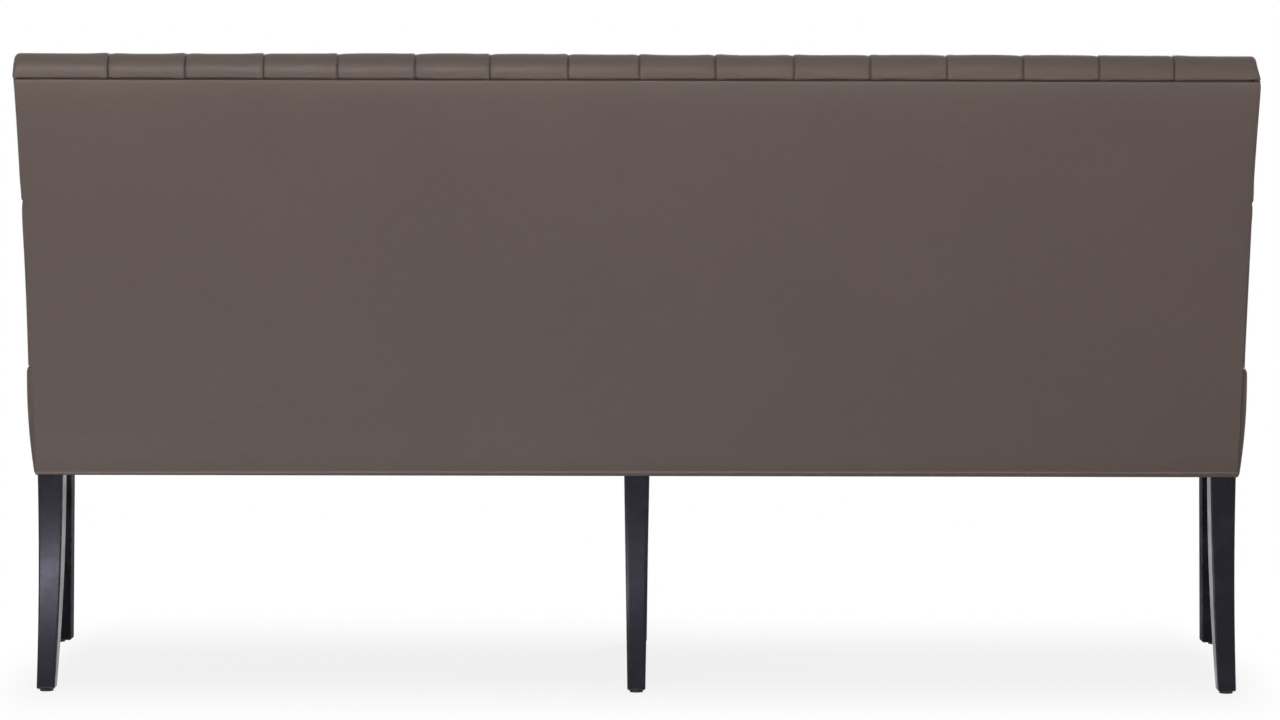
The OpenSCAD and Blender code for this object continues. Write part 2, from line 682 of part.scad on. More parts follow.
// Angles of the stations over the roll, two about each centre
roll_turns = [142, 95, 60, 10];
function turned(y, z, r, a) = [y + r * cos(a), z + r * sin(a)];
function pad_out(dips) = concat(
    [for (s = [0:7]) lean_point(foam_rho(station_a[s]) + pad_crest - dips[s], station_a[s])],
    [turned(roll_front_y, roll_front_z, roll_front_r - dips[8], roll_turns[0]),
        turned(roll_front_y, roll_front_z, roll_front_r - dips[9], roll_turns[1]),
        turned(roll_rear_y, roll_rear_z, roll_rear_r - dips[10], roll_turns[2]),
        turned(roll_rear_y, roll_rear_z, roll_rear_r - dips[11], roll_turns[3])],
    [lean_point(panel_rho + dips[12] / crest_drop, seam_a)]);
foam_mid_a = (pad_low_a + rail_top_a) / 2;
pad_in = [lean_point(lean_r - soft_gap, seam_a), lean_point(lean_r - soft_gap, rail_top_a + gap_a),
    lean_point(foam_rho(rail_top_a) + soft_gap, rail_top_a + gap_a),
    lean_point(foam_rho(foam_mid_a) + soft_gap, foam_mid_a),
    lean_point(foam_rho(pad_low_a) + soft_gap, pad_low_a)];
wall_low_a = lean_angle(lean_r, pad_bottom_h);
wall_step_a = (seam_a - wall_low_a) / 4;
wall_rho = (lean_r + soft_gap) / cos(wall_step_a / 2);
pad_wall = [for (i = [0:4]) lean_point(wall_rho, seam_a - i * wall_step_a)];
function end_dips(extra, roll_extra) = [for (s = [0:12])
    end_shares[s] * crest_drop + (s < 8 ? extra : roll_extra)];
function pad_ring(points, x) = [for (p = points) [x, p[0], p[1]]];
function pad_side_x(z) = half_rear + side_pad + side_flare * (z - seat_edge_h) / (top_z - seat_edge_h);
function column_dips(j) = [for (s = [0:12])
    let (phase = abs(j) % 4) crest_drop * dip_shares[s][phase == 3 ? 1 : phase]];
columns = 4 * half_count + 2;
quarter = button_pitch / 4;
function pad_end(side) =
    let (open = pad_ring(concat(pad_out(end_dips(0, 0)), pad_in), side * (half_rear + soft_gap)),
        wing = pad_ring(concat(pad_out(end_dips(0, 0)), pad_wall), side * (half_rear + soft_gap + over)),
        round_points = concat(pad_out(end_dips(side_round, side_round / 2)), pad_wall),
        edge = [for (p = round_points) [side * pad_side_x(p[1]), p[0], p[1]]])
        side > 0 ? [open, wing, edge] : [edge, wing, open];
module inside_back_cover() {
    color("#5f534d") placed() skin(concat(pad_end(-1),
        [for (j = [-columns:columns]) pad_ring(concat(pad_out(column_dips(j)), pad_in), j * quarter)],
        pad_end(1)), 13, (columns + 3) % 2);
}

// Back foam: between the canvas and the quilted cover
module back_foam() {
    front = [for (a = [rail_top_a, foam_mid_a, pad_low_a]) lean_point(foam_rho(a), a)];
    color("#e6dcb4") placed() difference() {
        side_slab(concat([lean_point(lean_r, rail_top_a)], front,
            [[lean_y(pad_bottom_h), pad_bottom_h]]), -half_rear, half_rear);
        lean_slab(lean_r - rail_t, back_foam_rho, 0, rail_top_a + over,
            -half_rear - over, half_rear + over);
    }
}

// Buttons: a domed head on a short shank that stands on the bottom of its dimple
shank_r = button_r / 4;
head_lift_share = 0.55;
head_lift = button_r * head_lift_share;
rim_t = button_dome / 2;
dome_steps = 3;
button_profile = concat([[0, 0], [shank_r, 0], [shank_r, head_lift], [button_r, head_lift]],
    [for (i = [0:dome_steps]) let (a = 90 * i / dome_steps)
        [button_r * cos(a), head_lift + rim_t + button_dome * sin(a)]]);
module button(x, a) {
    p = lean_point(foam_rho(a) + pad_button + soft_gap, a);
    translate([x, p[0], p[1]]) rotate([90 - a, 0, 0]) rotate_extrude() polygon(button_profile);
}
module tufting_buttons() {
    color("#544943") placed() {
        for (k = [-half_count:half_count]) {
            button(k * button_pitch, station_a[2]);
            button(k * button_pitch, station_a[6]);
        }
        for (k = [-half_count - 1:half_count]) button((k + 0.5) * button_pitch, station_a[4]);
    }
}

// Outside back: a board and a leather panel with the same slightly flared outline
panel_low_x = half_rear + hem_out - panel_inset;
panel_mid_x = half_rear + side_pad - panel_inset;
panel_top_x = pad_side_x(seam_h) - panel_inset;
panel_top_a = seam_a - gap_a;
function panel_outline(inset, bottom) = [
    [-panel_low_x + inset, bottom], [panel_low_x - inset, bottom],
    [panel_mid_x - inset, seat_edge_h], [panel_top_x - inset, top_z],
    [-panel_top_x + inset, top_z], [-panel_mid_x + inset, seat_edge_h]];
module back_sheet(rho1, rho2, top_a, inset, bottom) {
    intersection() {
        lean_slab(rho1, rho2, lean_angle(rho2, hem_z - over), top_a,
            -panel_top_x - over, panel_top_x + over);
        front_slab(panel_outline(inset, bottom), -rail_h, lean_r / 4);
    }
}
strip_low_a = panel_top_a - tack_strip_w / lean_r * 180 / PI;
module outside_back() {
    color("#5f534d") placed() back_sheet(panel_rho, lean_r - liner_t, panel_top_a, 0, hem_z);
}
module outside_back_liner() {
    color("#8a7a62") placed()
        back_sheet(lean_r - liner_t, lean_r, strip_low_a - gap_a, liner_t, rail_z);
}
module tack_strip() {
    color("#a08f74") placed()
        lean_slab(lean_r - liner_t, lean_r - soft_gap, strip_low_a, panel_top_a,
            -half_rear, half_rear);
}

// Dust cover: black cambric under the rails, cut out round the legs
module dust_notch(leg_w, inner_x, y) {
    translate([-leg_w / 2 - soft_gap, y, hem_z - over])
        cube([leg_w + 2 * soft_gap, 2 * leg_w, rail_h]);
    each_side() translate([inner_x - soft_gap, y, hem_z - over]) cube([2 * leg_w, 2 * leg_w, rail_h]);
}
module dust_cover() {
    y1 = -soft_gap;
    y2 = front_line_y + soft_gap;
    color("#1c1c1e") placed() difference() {
        translate([0, 0, rail_z - dust_t]) linear_extrude(dust_t)
            polygon([[-frame_half(y1), y1], [-frame_half(y2), y2], [frame_half(y2), y2],
                [frame_half(y1), y1]]);
        dust_notch(rear_leg_w, rear_inner_x, -rear_leg_d - soft_gap);
        dust_notch(front_leg_w, front_inner_x, side_front_y + soft_gap - 2 * front_leg_w);
    }
}

rear_leg_left();
rear_leg_centre();
rear_leg_right();
front_leg_left();
front_leg_centre();
front_leg_right();
front_rail_left();
front_rail_right();
rear_rail_left();
rear_rail_right();
side_rail_left();
side_rail_right();
cross_rail_left();
cross_rail_centre();
cross_rail_right();
corner_blocks();
block_screws();
frame_dowels();
top_rail();
low_back_rail_left();
low_back_rail_right();
back_upright_left();
back_upright_right();
seat_webbing();
back_webbing();
seat_canvas();
back_canvas();
seat_foam();
back_foam();
seat_cover();
inside_back_cover();
tufting_buttons();
outside_back_liner();
tack_strip();
outside_back();
dust_cover();
glides();
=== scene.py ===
import math

import bmesh
import bpy
import numpy as np
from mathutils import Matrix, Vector


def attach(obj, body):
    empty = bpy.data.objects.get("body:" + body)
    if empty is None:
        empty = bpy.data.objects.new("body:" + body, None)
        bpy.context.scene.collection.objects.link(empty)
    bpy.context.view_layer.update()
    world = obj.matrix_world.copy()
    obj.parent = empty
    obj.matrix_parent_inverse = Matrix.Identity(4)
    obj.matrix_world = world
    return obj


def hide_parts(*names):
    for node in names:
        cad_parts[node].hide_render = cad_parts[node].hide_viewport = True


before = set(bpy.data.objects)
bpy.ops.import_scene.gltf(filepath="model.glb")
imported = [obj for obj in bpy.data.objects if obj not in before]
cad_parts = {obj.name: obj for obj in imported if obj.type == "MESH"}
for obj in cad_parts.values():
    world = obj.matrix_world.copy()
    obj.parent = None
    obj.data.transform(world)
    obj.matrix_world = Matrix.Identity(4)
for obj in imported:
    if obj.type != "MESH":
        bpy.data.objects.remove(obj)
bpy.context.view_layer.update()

# The bench is drawn in millimetres. X runs along it, y starts at the rear legs' rear faces and
# grows backwards, and z is the height. REAR_LINE carries a place over to the frame.
MM = 0.001
REAR_LINE = 222.466

# Frame. The soft pieces stand off what carries them by a small gap
REAR_W = 1792.0
FLARE = 68.0
FRAME_D = 540.0
HEM_Z = 318.0
RAIL_TOP = 405.0
HALF_REAR = REAR_W / 2
SOFT_GAP = 0.3
# A distance beyond the reach of anything
FAR = 1000.0

# Lean of the back, a wide arc: radii of its layers from the posts' rear faces to the front
LEAN_R = 1560.0
LEAN_Z = 330.0
POST_D = 30.0
WEB_T = 2.5
CANVAS_T = 1.0
POST_RHO = LEAN_R + POST_D
CANVAS_RHO = POST_RHO + WEB_T
FOAM_RHO = CANVAS_RHO + CANVAS_T
FOAM_LOW_T = 46.0
FOAM_TOP_T = 12.0
PAD_CREST = 24.0
PAD_BUTTON = 3.0

# Heights of the upholstery
SEAT_EDGE_Z = 481.0
TOP_Z = 945.0
SEAM_Z = 909.0
ROLL_CAP = 27.0
ROLL_FRONT_R = 40.0
ROLL_REAR_R = 24.0
SIDE_PAD = 11.4
SIDE_FLARE = 4.6
ROLL_DRAWN_IN = 5.0
ROLL_LOW_Z, ROLL_HIGH_Z = 895.0, 935.0

# Buttons
PITCH = 111.7
ROW_HEIGHTS = (638.0, 723.0, 808.0)
LAST_COLUMN = 7


def from_hex(code):
    """A colour written as an sRGB hex value, as linear red, green, blue and alpha."""
    channels = [int(code[i:i + 2], 16) / 255 for i in (1, 3, 5)]
    return [c / 12.92 if c <= 0.04045 else ((c + 0.055) / 1.055) ** 2.4 for c in channels] + [1.0]


def smooth(low, high, value):
    """Rises smoothly from 0 at low to 1 at high."""
    t = np.clip((value - low) / (high - low), 0, 1)
    return t * t * (3 - 2 * t)


def lean_point(rho, a):
    """A point (y, z) of the back at a radius and an angle about the centre of its lean."""
    return np.stack([LEAN_R - rho * np.cos(a), LEAN_Z + rho * np.sin(a)], -1)


def lean_angle(rho, z):
    """The angle at which a radius of the lean is at a height."""
    return np.arcsin((z - LEAN_Z) / rho)


def lean_y(rho, z):
    """Place in depth of a radius of the lean at a height."""
    return LEAN_R - np.sqrt(rho ** 2 - (z - LEAN_Z) ** 2)


PAD_LOW_Z = SEAT_EDGE_Z + 2 * SOFT_GAP
PAD_LOW_A = lean_angle(FOAM_RHO + FOAM_LOW_T, PAD_LOW_Z)
RAIL_TOP_A = lean_angle(LEAN_R, TOP_Z - ROLL_CAP)


def foam_rho(a):
    """Radius of the foam's front at an angle of the lean. The foam thins towards the top."""
    return FOAM_RHO + FOAM_LOW_T + (FOAM_TOP_T - FOAM_LOW_T) * (a - PAD_LOW_A) / (RAIL_TOP_A - PAD_LOW_A)


def frame_half(y):
    """Half the frame's width at a depth: it splays towards the front."""
    return HALF_REAR - FLARE * y / FRAME_D


def pad_side_x(z):
    """Half the width of the padded back at a height. Its roll is drawn in a little at its ends."""
    return (HALF_REAR + SIDE_PAD + SIDE_FLARE * (z - SEAT_EDGE_Z) / (TOP_Z - SEAT_EDGE_Z)
            - ROLL_DRAWN_IN * smooth(ROLL_LOW_Z, ROLL_HIGH_Z, z))


# Inputs and output of a colour mix, counted by Blender across its hidden sockets
MIX_A, MIX_B, MIX_OUT = 6, 7, 2


def add(material, kind, inputs=None, out=0, **settings):
    """Adds a node to a material with its settings, and with its inputs linked or set, a colour as
    an sRGB hex value. Gives back one of its outputs."""
    made = material.node_tree.nodes.new("ShaderNode" + kind)
    for name, value in settings.items():
        setattr(made, name, value)
    for key, value in (inputs or {}).items():
        if isinstance(value, bpy.types.NodeSocket):
            material.node_tree.links.new(value, made.inputs[key])
        else:
            made.inputs[key].default_value = from_hex(value) if isinstance(value, str) else value
    return made.outputs[out] if made.outputs else None


def new_material(name):
    """An empty material, and the place of each point of its surface in metres."""
    made = bpy.data.materials.new(name)
    made.use_nodes = True
    made.node_tree.nodes.clear()
    return made, add(made, "TexCoord", out="Object")


def surfaced(material, looks):
    """Gives a material its surface, with its looks linked or set."""
    surface = add(material, "BsdfPrincipled", looks)
    add(material, "OutputMaterial", {"Surface": surface})
    return material


def toned(material, under, over, mark, low, high, least=0.0, most=1.0):
    """Lays a tone over another by the strength of a mark: as the mark grows from low to high, the
    upper tone's share goes from least to most."""
    share = add(material, "MapRange", {
        "Value": mark, "From Min": low, "From Max": high, "To Min": least, "To Max": most})
    return add(material, "Mix", {0: share, MIX_A: under, MIX_B: over}, MIX_OUT, data_type="RGBA")


def every(size):
    """Scale of a pattern whose marks are this many millimetres across."""
    return 1 / (size * MM)


def pigmented_leather(name, tone, fold_tone, crest_tone):
    """Corrected-grain cowhide with a pigment finish: an even warm brown with a soft sheen, a fine
    pebble grain, with painted shade darkening its folds and a painted highlight, partly wear on the
    quilt's crests, making it a little paler where it stands proud."""
    made, place = new_material(name)
    # The real pebbles are 0.9 mm across; they are drawn at 1.5 mm so that they show
    pebble = add(made, "TexVoronoi", {"Vector": place, "Scale": every(1.5)}, feature="SMOOTH_F1")
    creases = add(made, "TexNoise", {
        "Vector": place, "Scale": every(7), "Detail": 5.0, "Roughness": 0.62})
    clouds = add(made, "TexNoise", {"Vector": place, "Scale": every(220), "Detail": 2.0})
    # The fold mark lays on painted shade in creases, folds, joints and under the buttons' rims. The
    # crest mark lays on a paler tone: a painted highlight on edges and crests that stand proud, and a
    # painted sheen below the outside back's top, partly wear on the quilt's crests
    fold = add(made, "Attribute", out="Fac", attribute_name="fold")
    crest = add(made, "Attribute", out="Fac", attribute_name="crest")
    darker, lighter = [[c * share for c in from_hex(tone)[:3]] + [1.0] for share in (0.975, 1.02)]
    base = toned(made, darker, lighter, clouds, 0.35, 0.65)
    grained = toned(made, base, fold_tone, pebble, 0.25, 0.75, most=0.22)
    paled = add(made, "Mix", {0: crest, MIX_A: grained, MIX_B: crest_tone}, MIX_OUT, data_type="RGBA")
    folded = add(made, "Mix", {0: fold, MIX_A: paled, MIX_B: fold_tone}, MIX_OUT, data_type="RGBA")
    rough = add(made, "MapRange", {
        "Value": creases, "From Min": 0.3, "From Max": 0.7, "To Min": 0.4, "To Max": 0.52})
    pebbled = add(made, "Bump", {"Height": pebble, "Strength": 0.35, "Distance": 0.4 * MM},
                  invert=True)
    creased = add(made, "Bump", {
        "Height": creases, "Strength": 0.3, "Distance": 0.9 * MM, "Normal": pebbled})
    return surfaced(made, {"Base Color": folded, "Roughness": rough, "Normal": creased,
                           "IOR": 1.48, "Specular IOR Level": 0.42})


def stained_beech(name, sheen, rough_low, rough_high):
    """Steamed beech, stained black and lacquered satin: near black with a cold sheen, with the
    grain showing as faint streaks and the arrises rubbed down to a warm grey."""
    made, place = new_material(name)
    stretched = add(made, "Mapping", {"Vector": place, "Scale": (1.0, 1.0, 0.05)})
    grain = add(made, "TexNoise", {
        "Vector": stretched, "Scale": every(2.2), "Detail": 4.0, "Roughness": 0.6})
    patches = add(made, "TexNoise", {
        "Vector": place, "Scale": every(55), "Detail": 3.0, "Roughness": 0.6})
    chips = add(made, "TexNoise", {
        "Vector": place, "Scale": every(12), "Detail": 6.0, "Roughness": 0.7})
    arris = add(made, "Attribute", out="Fac", attribute_name="arris")
    rubbed = add(made, "Math", {0: arris, 1: chips}, operation="MULTIPLY")
    streaked = toned(made, "#0f0f12", "#19191f", grain, 0.35, 0.7)
    patched = toned(made, streaked, "#2e2f3a", patches, 0.5, 0.72, most=0.55)
    paled = toned(made, patched, "#625d56", rubbed, 0.36, 0.6, most=0.85)
    rough = add(made, "MapRange", {
        "Value": patches, "From Min": 0.35, "From Max": 0.7, "To Min": rough_high,
        "To Max": rough_low})
    bump = add(made, "Bump", {"Height": grain, "Strength": 0.25, "Distance": 0.3 * MM})
    return surfaced(made, {"Base Color": paled, "Roughness": rough, "Normal": bump, "IOR": 1.5,
                           "Specular IOR Level": sheen, "Specular Tint": "#e8e4fb"})


def plain_wood(name, early, late, along, ring_size):
    """Planed hardwood without a finish: pale, dull, with darker growth lines along its length and
    the short flecks of its rays."""
    made, place = new_material(name)
    squeeze = [0.06 if i == along else 1.0 for i in range(3)]
    stretched = add(made, "Mapping", {"Vector": place, "Scale": squeeze})
    rings = add(made, "TexNoise", {
        "Vector": stretched, "Scale": every(ring_size), "Detail": 3.0, "Distortion": 0.6})
    flecks = add(made, "TexVoronoi", {"Vector": stretched, "Scale": every(1.6)})
    ringed = toned(made, early, late, rings, 0.3, 0.7)
    flecked = toned(made, ringed, "#7d5a36", flecks, 0.1, 0.4, 0.25, 0.0)
    bump = add(made, "Bump", {"Height": rings, "Strength": 0.3, "Distance": 0.3 * MM})
    return surfaced(made, {"Base Color": flecked, "Normal": bump, "Roughness": 0.68})


def woven(name, thread, gap, thread_size, rough):
    """Plain-woven cloth: two crossing sets of threads, pale on their backs and dark between."""
    made, place = new_material(name)
    # A wave turns 20 radians to a metre. A turn is drawn over six threads, so that they show
    warp, weft = [add(made, "TexWave", {
        "Vector": place, "Scale": every(thread_size) / 20, "Distortion": 0.6, "Detail": 1.0},
        "Fac", bands_direction=way) for way in ("X", "DIAGONAL")]
    slubs = add(made, "TexNoise", {"Vector": place, "Scale": every(10), "Detail": 3.0})
    crossing = add(made, "Math", {0: warp, 1: weft}, operation="MULTIPLY")
    uneven = add(made, "Math", {0: crossing, 1: slubs, 2: 0.25}, operation="MULTIPLY_ADD")
    shade = add(made, "Mix", {0: uneven, MIX_A: gap, MIX_B: thread}, MIX_OUT, data_type="RGBA")
    bump = add(made, "Bump", {"Height": crossing, "Strength": 0.5, "Distance": 0.3 * thread_size * MM})
    return surfaced(made, {"Base Color": shade, "Normal": bump, "Roughness": rough,
                           "Sheen Weight": 0.15})


def cut_foam():
    """Cut polyurethane foam: matt cream with open cells and a few yellower clouds."""
    made, place = new_material("cut_polyurethane_foam")
    cells = add(made, "TexVoronoi", {"Vector": place, "Scale": every(1.8)})
    clouds = add(made, "TexNoise", {"Vector": place, "Scale": every(120), "Detail": 2.0})
    clouded = add(made, "Mix", {0: clouds, MIX_A: "#e3d5a2", MIX_B: "#efe6c6"}, MIX_OUT,
                  data_type="RGBA")
    pitted = toned(made, clouded, "#b7a56b", cells, 0.0, 0.5, 0.5, 0.0)
    bump = add(made, "Bump", {"Height": cells, "Strength": 0.6, "Distance": 0.8 * MM})
    return surfaced(made, {"Base Color": pitted, "Normal": bump, "Roughness": 0.95})


def pressed_board(name, light, dark):
    """Pressed fibre board: dull brown, mottled with short fibres."""
    made, place = new_material(name)
    fibres = add(made, "TexNoise", {
        "Vector": place, "Scale": every(2), "Detail": 6.0, "Roughness": 0.75, "Distortion": 1.5})
    mottled = toned(made, dark, light, fibres, 0.3, 0.7)
    bump = add(made, "Bump", {"Height": fibres, "Strength": 0.3, "Distance": 0.3 * MM})
    return surfaced(made, {"Base Color": mottled, "Normal": bump, "Roughness": 0.8})


def plated_steel(name, tone, cloud_tone, rough_low, rough_high):
    """Plated steel: metal that is a little cloudy, with fine turning marks."""
    made, place = new_material(name)
    marks = add(made, "TexNoise", {"Vector": place, "Scale": every(1.2), "Detail": 4.0})
    rough = add(made, "MapRange", {
        "Value": marks, "From Min": 0.3, "From Max": 0.7, "To Min": rough_low,
        "To Max": rough_high})
    cloudy = add(made, "Mix", {0: marks, MIX_A: tone, MIX_B: cloud_tone}, MIX_OUT, data_type="RGBA")
    bump = add(made, "Bump", {"Height": marks, "Strength": 0.15, "Distance": 0.1 * MM})
    return surfaced(made, {"Base Color": cloudy, "Roughness": rough, "Normal": bump, "Metallic": 1.0})


LEATHER = pigmented_leather("pigmented_cowhide", "#574943", "#1f1816", "#7d6c64")
BUTTON_LEATHER = pigmented_leather("button_cowhide", "#51433e", "#1f1816", "#61534c")
LEG_WOOD = stained_beech("black_stained_beech", 0.22, 0.2, 0.32)
FRONT_LEG_WOOD = stained_beech("matt_stained_beech", 0.16, 0.7, 0.85)
RAIL_WOOD = plain_wood("planed_beech", "#c9a06e", "#b08350", 0, 9.0)
SIDE_RAIL_WOOD = plain_wood("planed_beech_across", "#c9a06e", "#b08350", 1, 9.0)
POST_WOOD = plain_wood("planed_beech_upright", "#c6a070", "#ae8452", 2, 9.0)
BLOCK_WOOD = plain_wood("sawn_birch", "#d3b283", "#bd9763", 2, 6.0)
DOWEL_WOOD = plain_wood("turned_birch", "#dcc39b", "#cbae81", 0, 4.0)
STRAP = woven("black_elastic_webbing", "#4a4a4d", "#26262a", 1.6, 0.85)
HESSIAN = woven("jute_hessian", "#bfa983", "#7d6a47", 2.2, 0.95)
CAMBRIC = woven("black_cambric", "#26262a", "#0f0f12", 1.2, 0.9)
FOAM = cut_foam()
BOARD = pressed_board("grey_board", "#94846b", "#6f614b")
CARD = pressed_board("black_tacking_card", "#2e2a27", "#1d1a18")
SCREW_STEEL = plated_steel("zinc_plated_steel", "#a9a9a6", "#dcdcd8", 0.28, 0.45)
GLIDE_STEEL = plated_steel("black_plated_steel", "#2a2a2d", "#3f3f42", 0.4, 0.55)

# Points closer together than this become one, and edges shorter than this go
MERGED, SLIVER = 0.02, 0.0001


def make_piece(name, points, faces, material, slot, marks=None, finish=None):
    """A piece of the bench from points in millimetres, with equal points merged into one."""
    co = np.asarray(points, float) + [0.0, REAR_LINE, 0.0]
    mesh = bpy.data.meshes.new(name)
    mesh.from_pydata((co * MM).tolist(), [], [list(map(int, f)) for f in faces])
    for mark, values in (marks or {}).items():
        layer = mesh.attributes.new(mark, "FLOAT", "POINT")
        layer.data.foreach_set("value", np.asarray(values, np.float32))
    shape = bmesh.new()
    shape.from_mesh(mesh)
    bmesh.ops.remove_doubles(shape, verts=shape.verts, dist=MERGED * MM)
    bmesh.ops.dissolve_degenerate(shape, edges=shape.edges, dist=SLIVER * MM)
    if finish:
        finish(shape)
    bmesh.ops.recalc_face_normals(shape, faces=shape.faces)
    shape.to_mesh(mesh)
    shape.free()
    mesh.shade_smooth()
    mesh.materials.append(material)
    piece = bpy.data.objects.new(name, mesh)
    bpy.context.scene.collection.objects.link(piece)
    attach(piece, "root")
    return piece


def grid_faces(rows, columns, start=0, closed=False):
    """Four-sided faces over rows of points, each row with the same number of points."""
    i, j = np.meshgrid(np.arange(rows - 1), np.arange(columns if closed else columns - 1),
                       indexing="ij")
    k = (j + 1) % columns
    return (np.stack([i * columns + j, i * columns + k, (i + 1) * columns + k,
                      (i + 1) * columns + j], -1).reshape(-1, 4) + start).tolist()


def gather_patches(patches):
    """Points and faces of several grids of points, one after another."""
    points, faces, start = [], [], 0
    for patch in patches:
        faces += grid_faces(patch.shape[0], patch.shape[1], start)
        points.append(patch.reshape(-1, 3))
        start += patch.shape[0] * patch.shape[1]
    return np.concatenate(points), faces


def close_holes(shape):
    """Closes what is left open at the ends of a hollow form, out of sight."""
    edges = [e for e in shape.edges if e.is_boundary]
    made = bmesh.ops.holes_fill(shape, edges=edges, sides=0)
    bmesh.ops.triangulate(shape, faces=made["faces"])


# Legs
LEG_W, LEG_D = 38.0, 40.0
FOOT_W, FOOT_D = 27.0, 27.0
LEG_BELLY = 9.0
FOOT_SWEEP_R = 883.0
FRONT_LEG_W, FRONT_FOOT_W = 40.0, 36.0
FRONT_SWELL, SWELL_REACH = 4.0, 36.0
CENTRE_TAPER = 3.0
GLIDE_T = 4.0
TOP_RAIL_H = 70.0
LEG_X = HALF_REAR - LEG_W / 2
FRONT_Y = -FRAME_D
FRONT_LEG_X = frame_half(FRONT_Y + FRONT_LEG_W) - FRONT_LEG_W / 2
RAIL_LOW_A = RAIL_TOP_A - TOP_RAIL_H / LEAN_R
ARRIS_R = 2.2
# The foot's lowest edge is rounded off, and worn all round
FOOT_ROUND, FOOT_INSET, FOOT_WEAR = 1.6, 1.4, 0.95
FOOT_CUTS = [GLIDE_T + rise for rise in (0.0, 0.5, FOOT_ROUND, 3.2)]
SHANK_Z = GLIDE_T + 8
# Heights of the cuts where the legs are let in between the rails
REAR_RAIL_CUTS, FRONT_RAIL_CUTS = [332.0, 365.0, RAIL_TOP], [360.0, RAIL_TOP]


def leg_ring(x1, x2, y1, y2, z1, z2):
    """A cut through a leg: a rectangle with rounded arrises. z1 belongs to y1 and z2 to y2. Each
    point carries how far it is on an arris."""
    r, places, arris = ARRIS_R, [], []
    for cx, cy, turn, follow in ((x2 - r, y2 - r, 0, (-1, 0)), (x1 + r, y2 - r, 90, (0, -1)),
                                 (x1 + r, y1 + r, 180, (1, 0)), (x2 - r, y1 + r, 270, (0, 1))):
        for step in range(5):
            a = math.radians(turn + step * 22.5)
            places.append((cx + r * math.cos(a), cy + r * math.sin(a)))
            arris.append(1.0 - abs(step - 2) * 0.3)
        # The flats get points of their own, so that the wear stays on the arris
        far = (x2 - x1 if follow[0] else y2 - y1) - 2 * r
        x, y = places[-1]
        for share in (0.12, 0.5, 0.88):
            places.append((x + follow[0] * far * share, y + follow[1] * far * share))
            arris.append(0.0)
    return [(x, y, z1 + (z2 - z1) * (y - y1) / (y2 - y1)) for x, y in places], arris


def loft_leg(name, cuts, wood):
    """A leg lofted through its cuts, with flat ends."""
    rings = [leg_ring(*cut) for cut in cuts]
    points = [p for ring, _ in rings for p in ring]
    arris = [max(a, FOOT_WEAR if cut[4] in FOOT_CUTS[1:3] else 0.0)
             for cut, (_, marks) in zip(cuts, rings) for a in marks]
    count = len(rings[0][0])
    faces = grid_faces(len(rings), count, closed=True)
    faces.append(list(range(count))[::-1])
    faces.append([len(points) - count + i for i in range(count)])
    leg = make_piece(name, points, faces, wood, "legs", {"arris": arris})
    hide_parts(name.split("_", 1)[1])


def foot_inset(z):
    """How far a foot's faces are drawn in at its rounded lower end."""
    return FOOT_INSET * max(0.0, 1 - (z - GLIDE_T) / FOOT_ROUND)


def foot_y(z):
    """How far a foot has swept backwards at a height."""
    return FOOT_SWEEP_R - math.sqrt(FOOT_SWEEP_R ** 2 - max(0.0, LEAN_Z - z) ** 2)


def rear_leg(name, x):
    """A rear leg: a foot that sweeps backwards, and above the seat a leaning post."""
    cuts = []
    for z in FOOT_CUTS + list(np.linspace(SHANK_Z, HEM_Z, 30)):
        t = (z - GLIDE_T) / (HEM_Z - GLIDE_T)
        inset = foot_inset(z)
        half = (FOOT_W + (LEG_W - FOOT_W) * t) / 2 - inset
        depth = FOOT_D + (LEG_D - FOOT_D) * t + LEG_BELLY * math.sin(math.pi * t)
        cuts.append((x - half, x + half, foot_y(z) - depth + inset, foot_y(z) - inset, z, z))
    for z in REAR_RAIL_CUTS:
        cuts.append((x - LEG_W / 2, x + LEG_W / 2, -LEG_D, lean_y(LEAN_R, z), z, z))
    low_a = lean_angle(LEAN_R, RAIL_TOP + POST_D)
    for a in np.linspace(low_a, RAIL_LOW_A, 16):
        (y2, z2), (y1, z1) = lean_point(LEAN_R, a), lean_point(POST_RHO, a)
        cuts.append((x - LEG_W / 2, x + LEG_W / 2, y1, y2, z1, z2))
    loft_leg(name, cuts, LEG_WOOD)


def front_leg(name, side):
    """A front leg: nearly square, a little slimmer at the foot, upright on its front and outer
    faces. An outer one swells a little on its inner face below the seat, and the centre one is
    slimmer at its foot still."""
    x = side * FRONT_LEG_X
    cuts = []
    for z in FOOT_CUTS + list(np.linspace(SHANK_Z, HEM_Z, 12)) + FRONT_RAIL_CUTS:
        t = min(1.0, (z - GLIDE_T) / (HEM_Z - GLIDE_T))
        inset = foot_inset(z)
        depth = FRONT_FOOT_W + (FRONT_LEG_W - FRONT_FOOT_W) * t
        outer = x + side * FRONT_LEG_W / 2
        if side:
            width = depth + FRONT_SWELL * float(smooth(0, SWELL_REACH, HEM_Z - z))
            x1 = outer - width if side > 0 else outer
        else:
            width = depth - CENTRE_TAPER * (1 - t)
            x1 = -width / 2
        cuts.append((x1 + inset, x1 + width - inset, FRONT_Y + inset, FRONT_Y + depth - inset, z, z))
    loft_leg(name, cuts, FRONT_LEG_WOOD)


rear_leg("turned_rear_leg_left", LEG_X)
rear_leg("turned_rear_leg_centre", 0.0)
rear_leg("turned_rear_leg_right", -LEG_X)
front_leg("squared_front_leg_left", 1)
front_leg("squared_front_leg_centre", 0)
front_leg("squared_front_leg_right", -1)

# Section of the inside back: under its front edge, up the front, over the roll, to the seam behind
# the posts, where the leather curls in
SEAM_RHO = LEAN_R - 5.5
LOW_EDGE_R = 12.0
CURL_R, CURL_TURN = 1.5, 82.0
ROLL_START_Z = 880.0
SECTION_STEP = 0.5


def crest_rho(a):
    """Radius of the crests of the quilted leather over the foam."""
    return foam_rho(a) + PAD_CREST


def circle_points(y, z, r, a1, a2, steps):
    """Points along an arc of the section."""
    a = np.radians(np.linspace(a1, a2, steps))
    return np.stack([y + r * np.cos(a), z + r * np.sin(a)], -1)


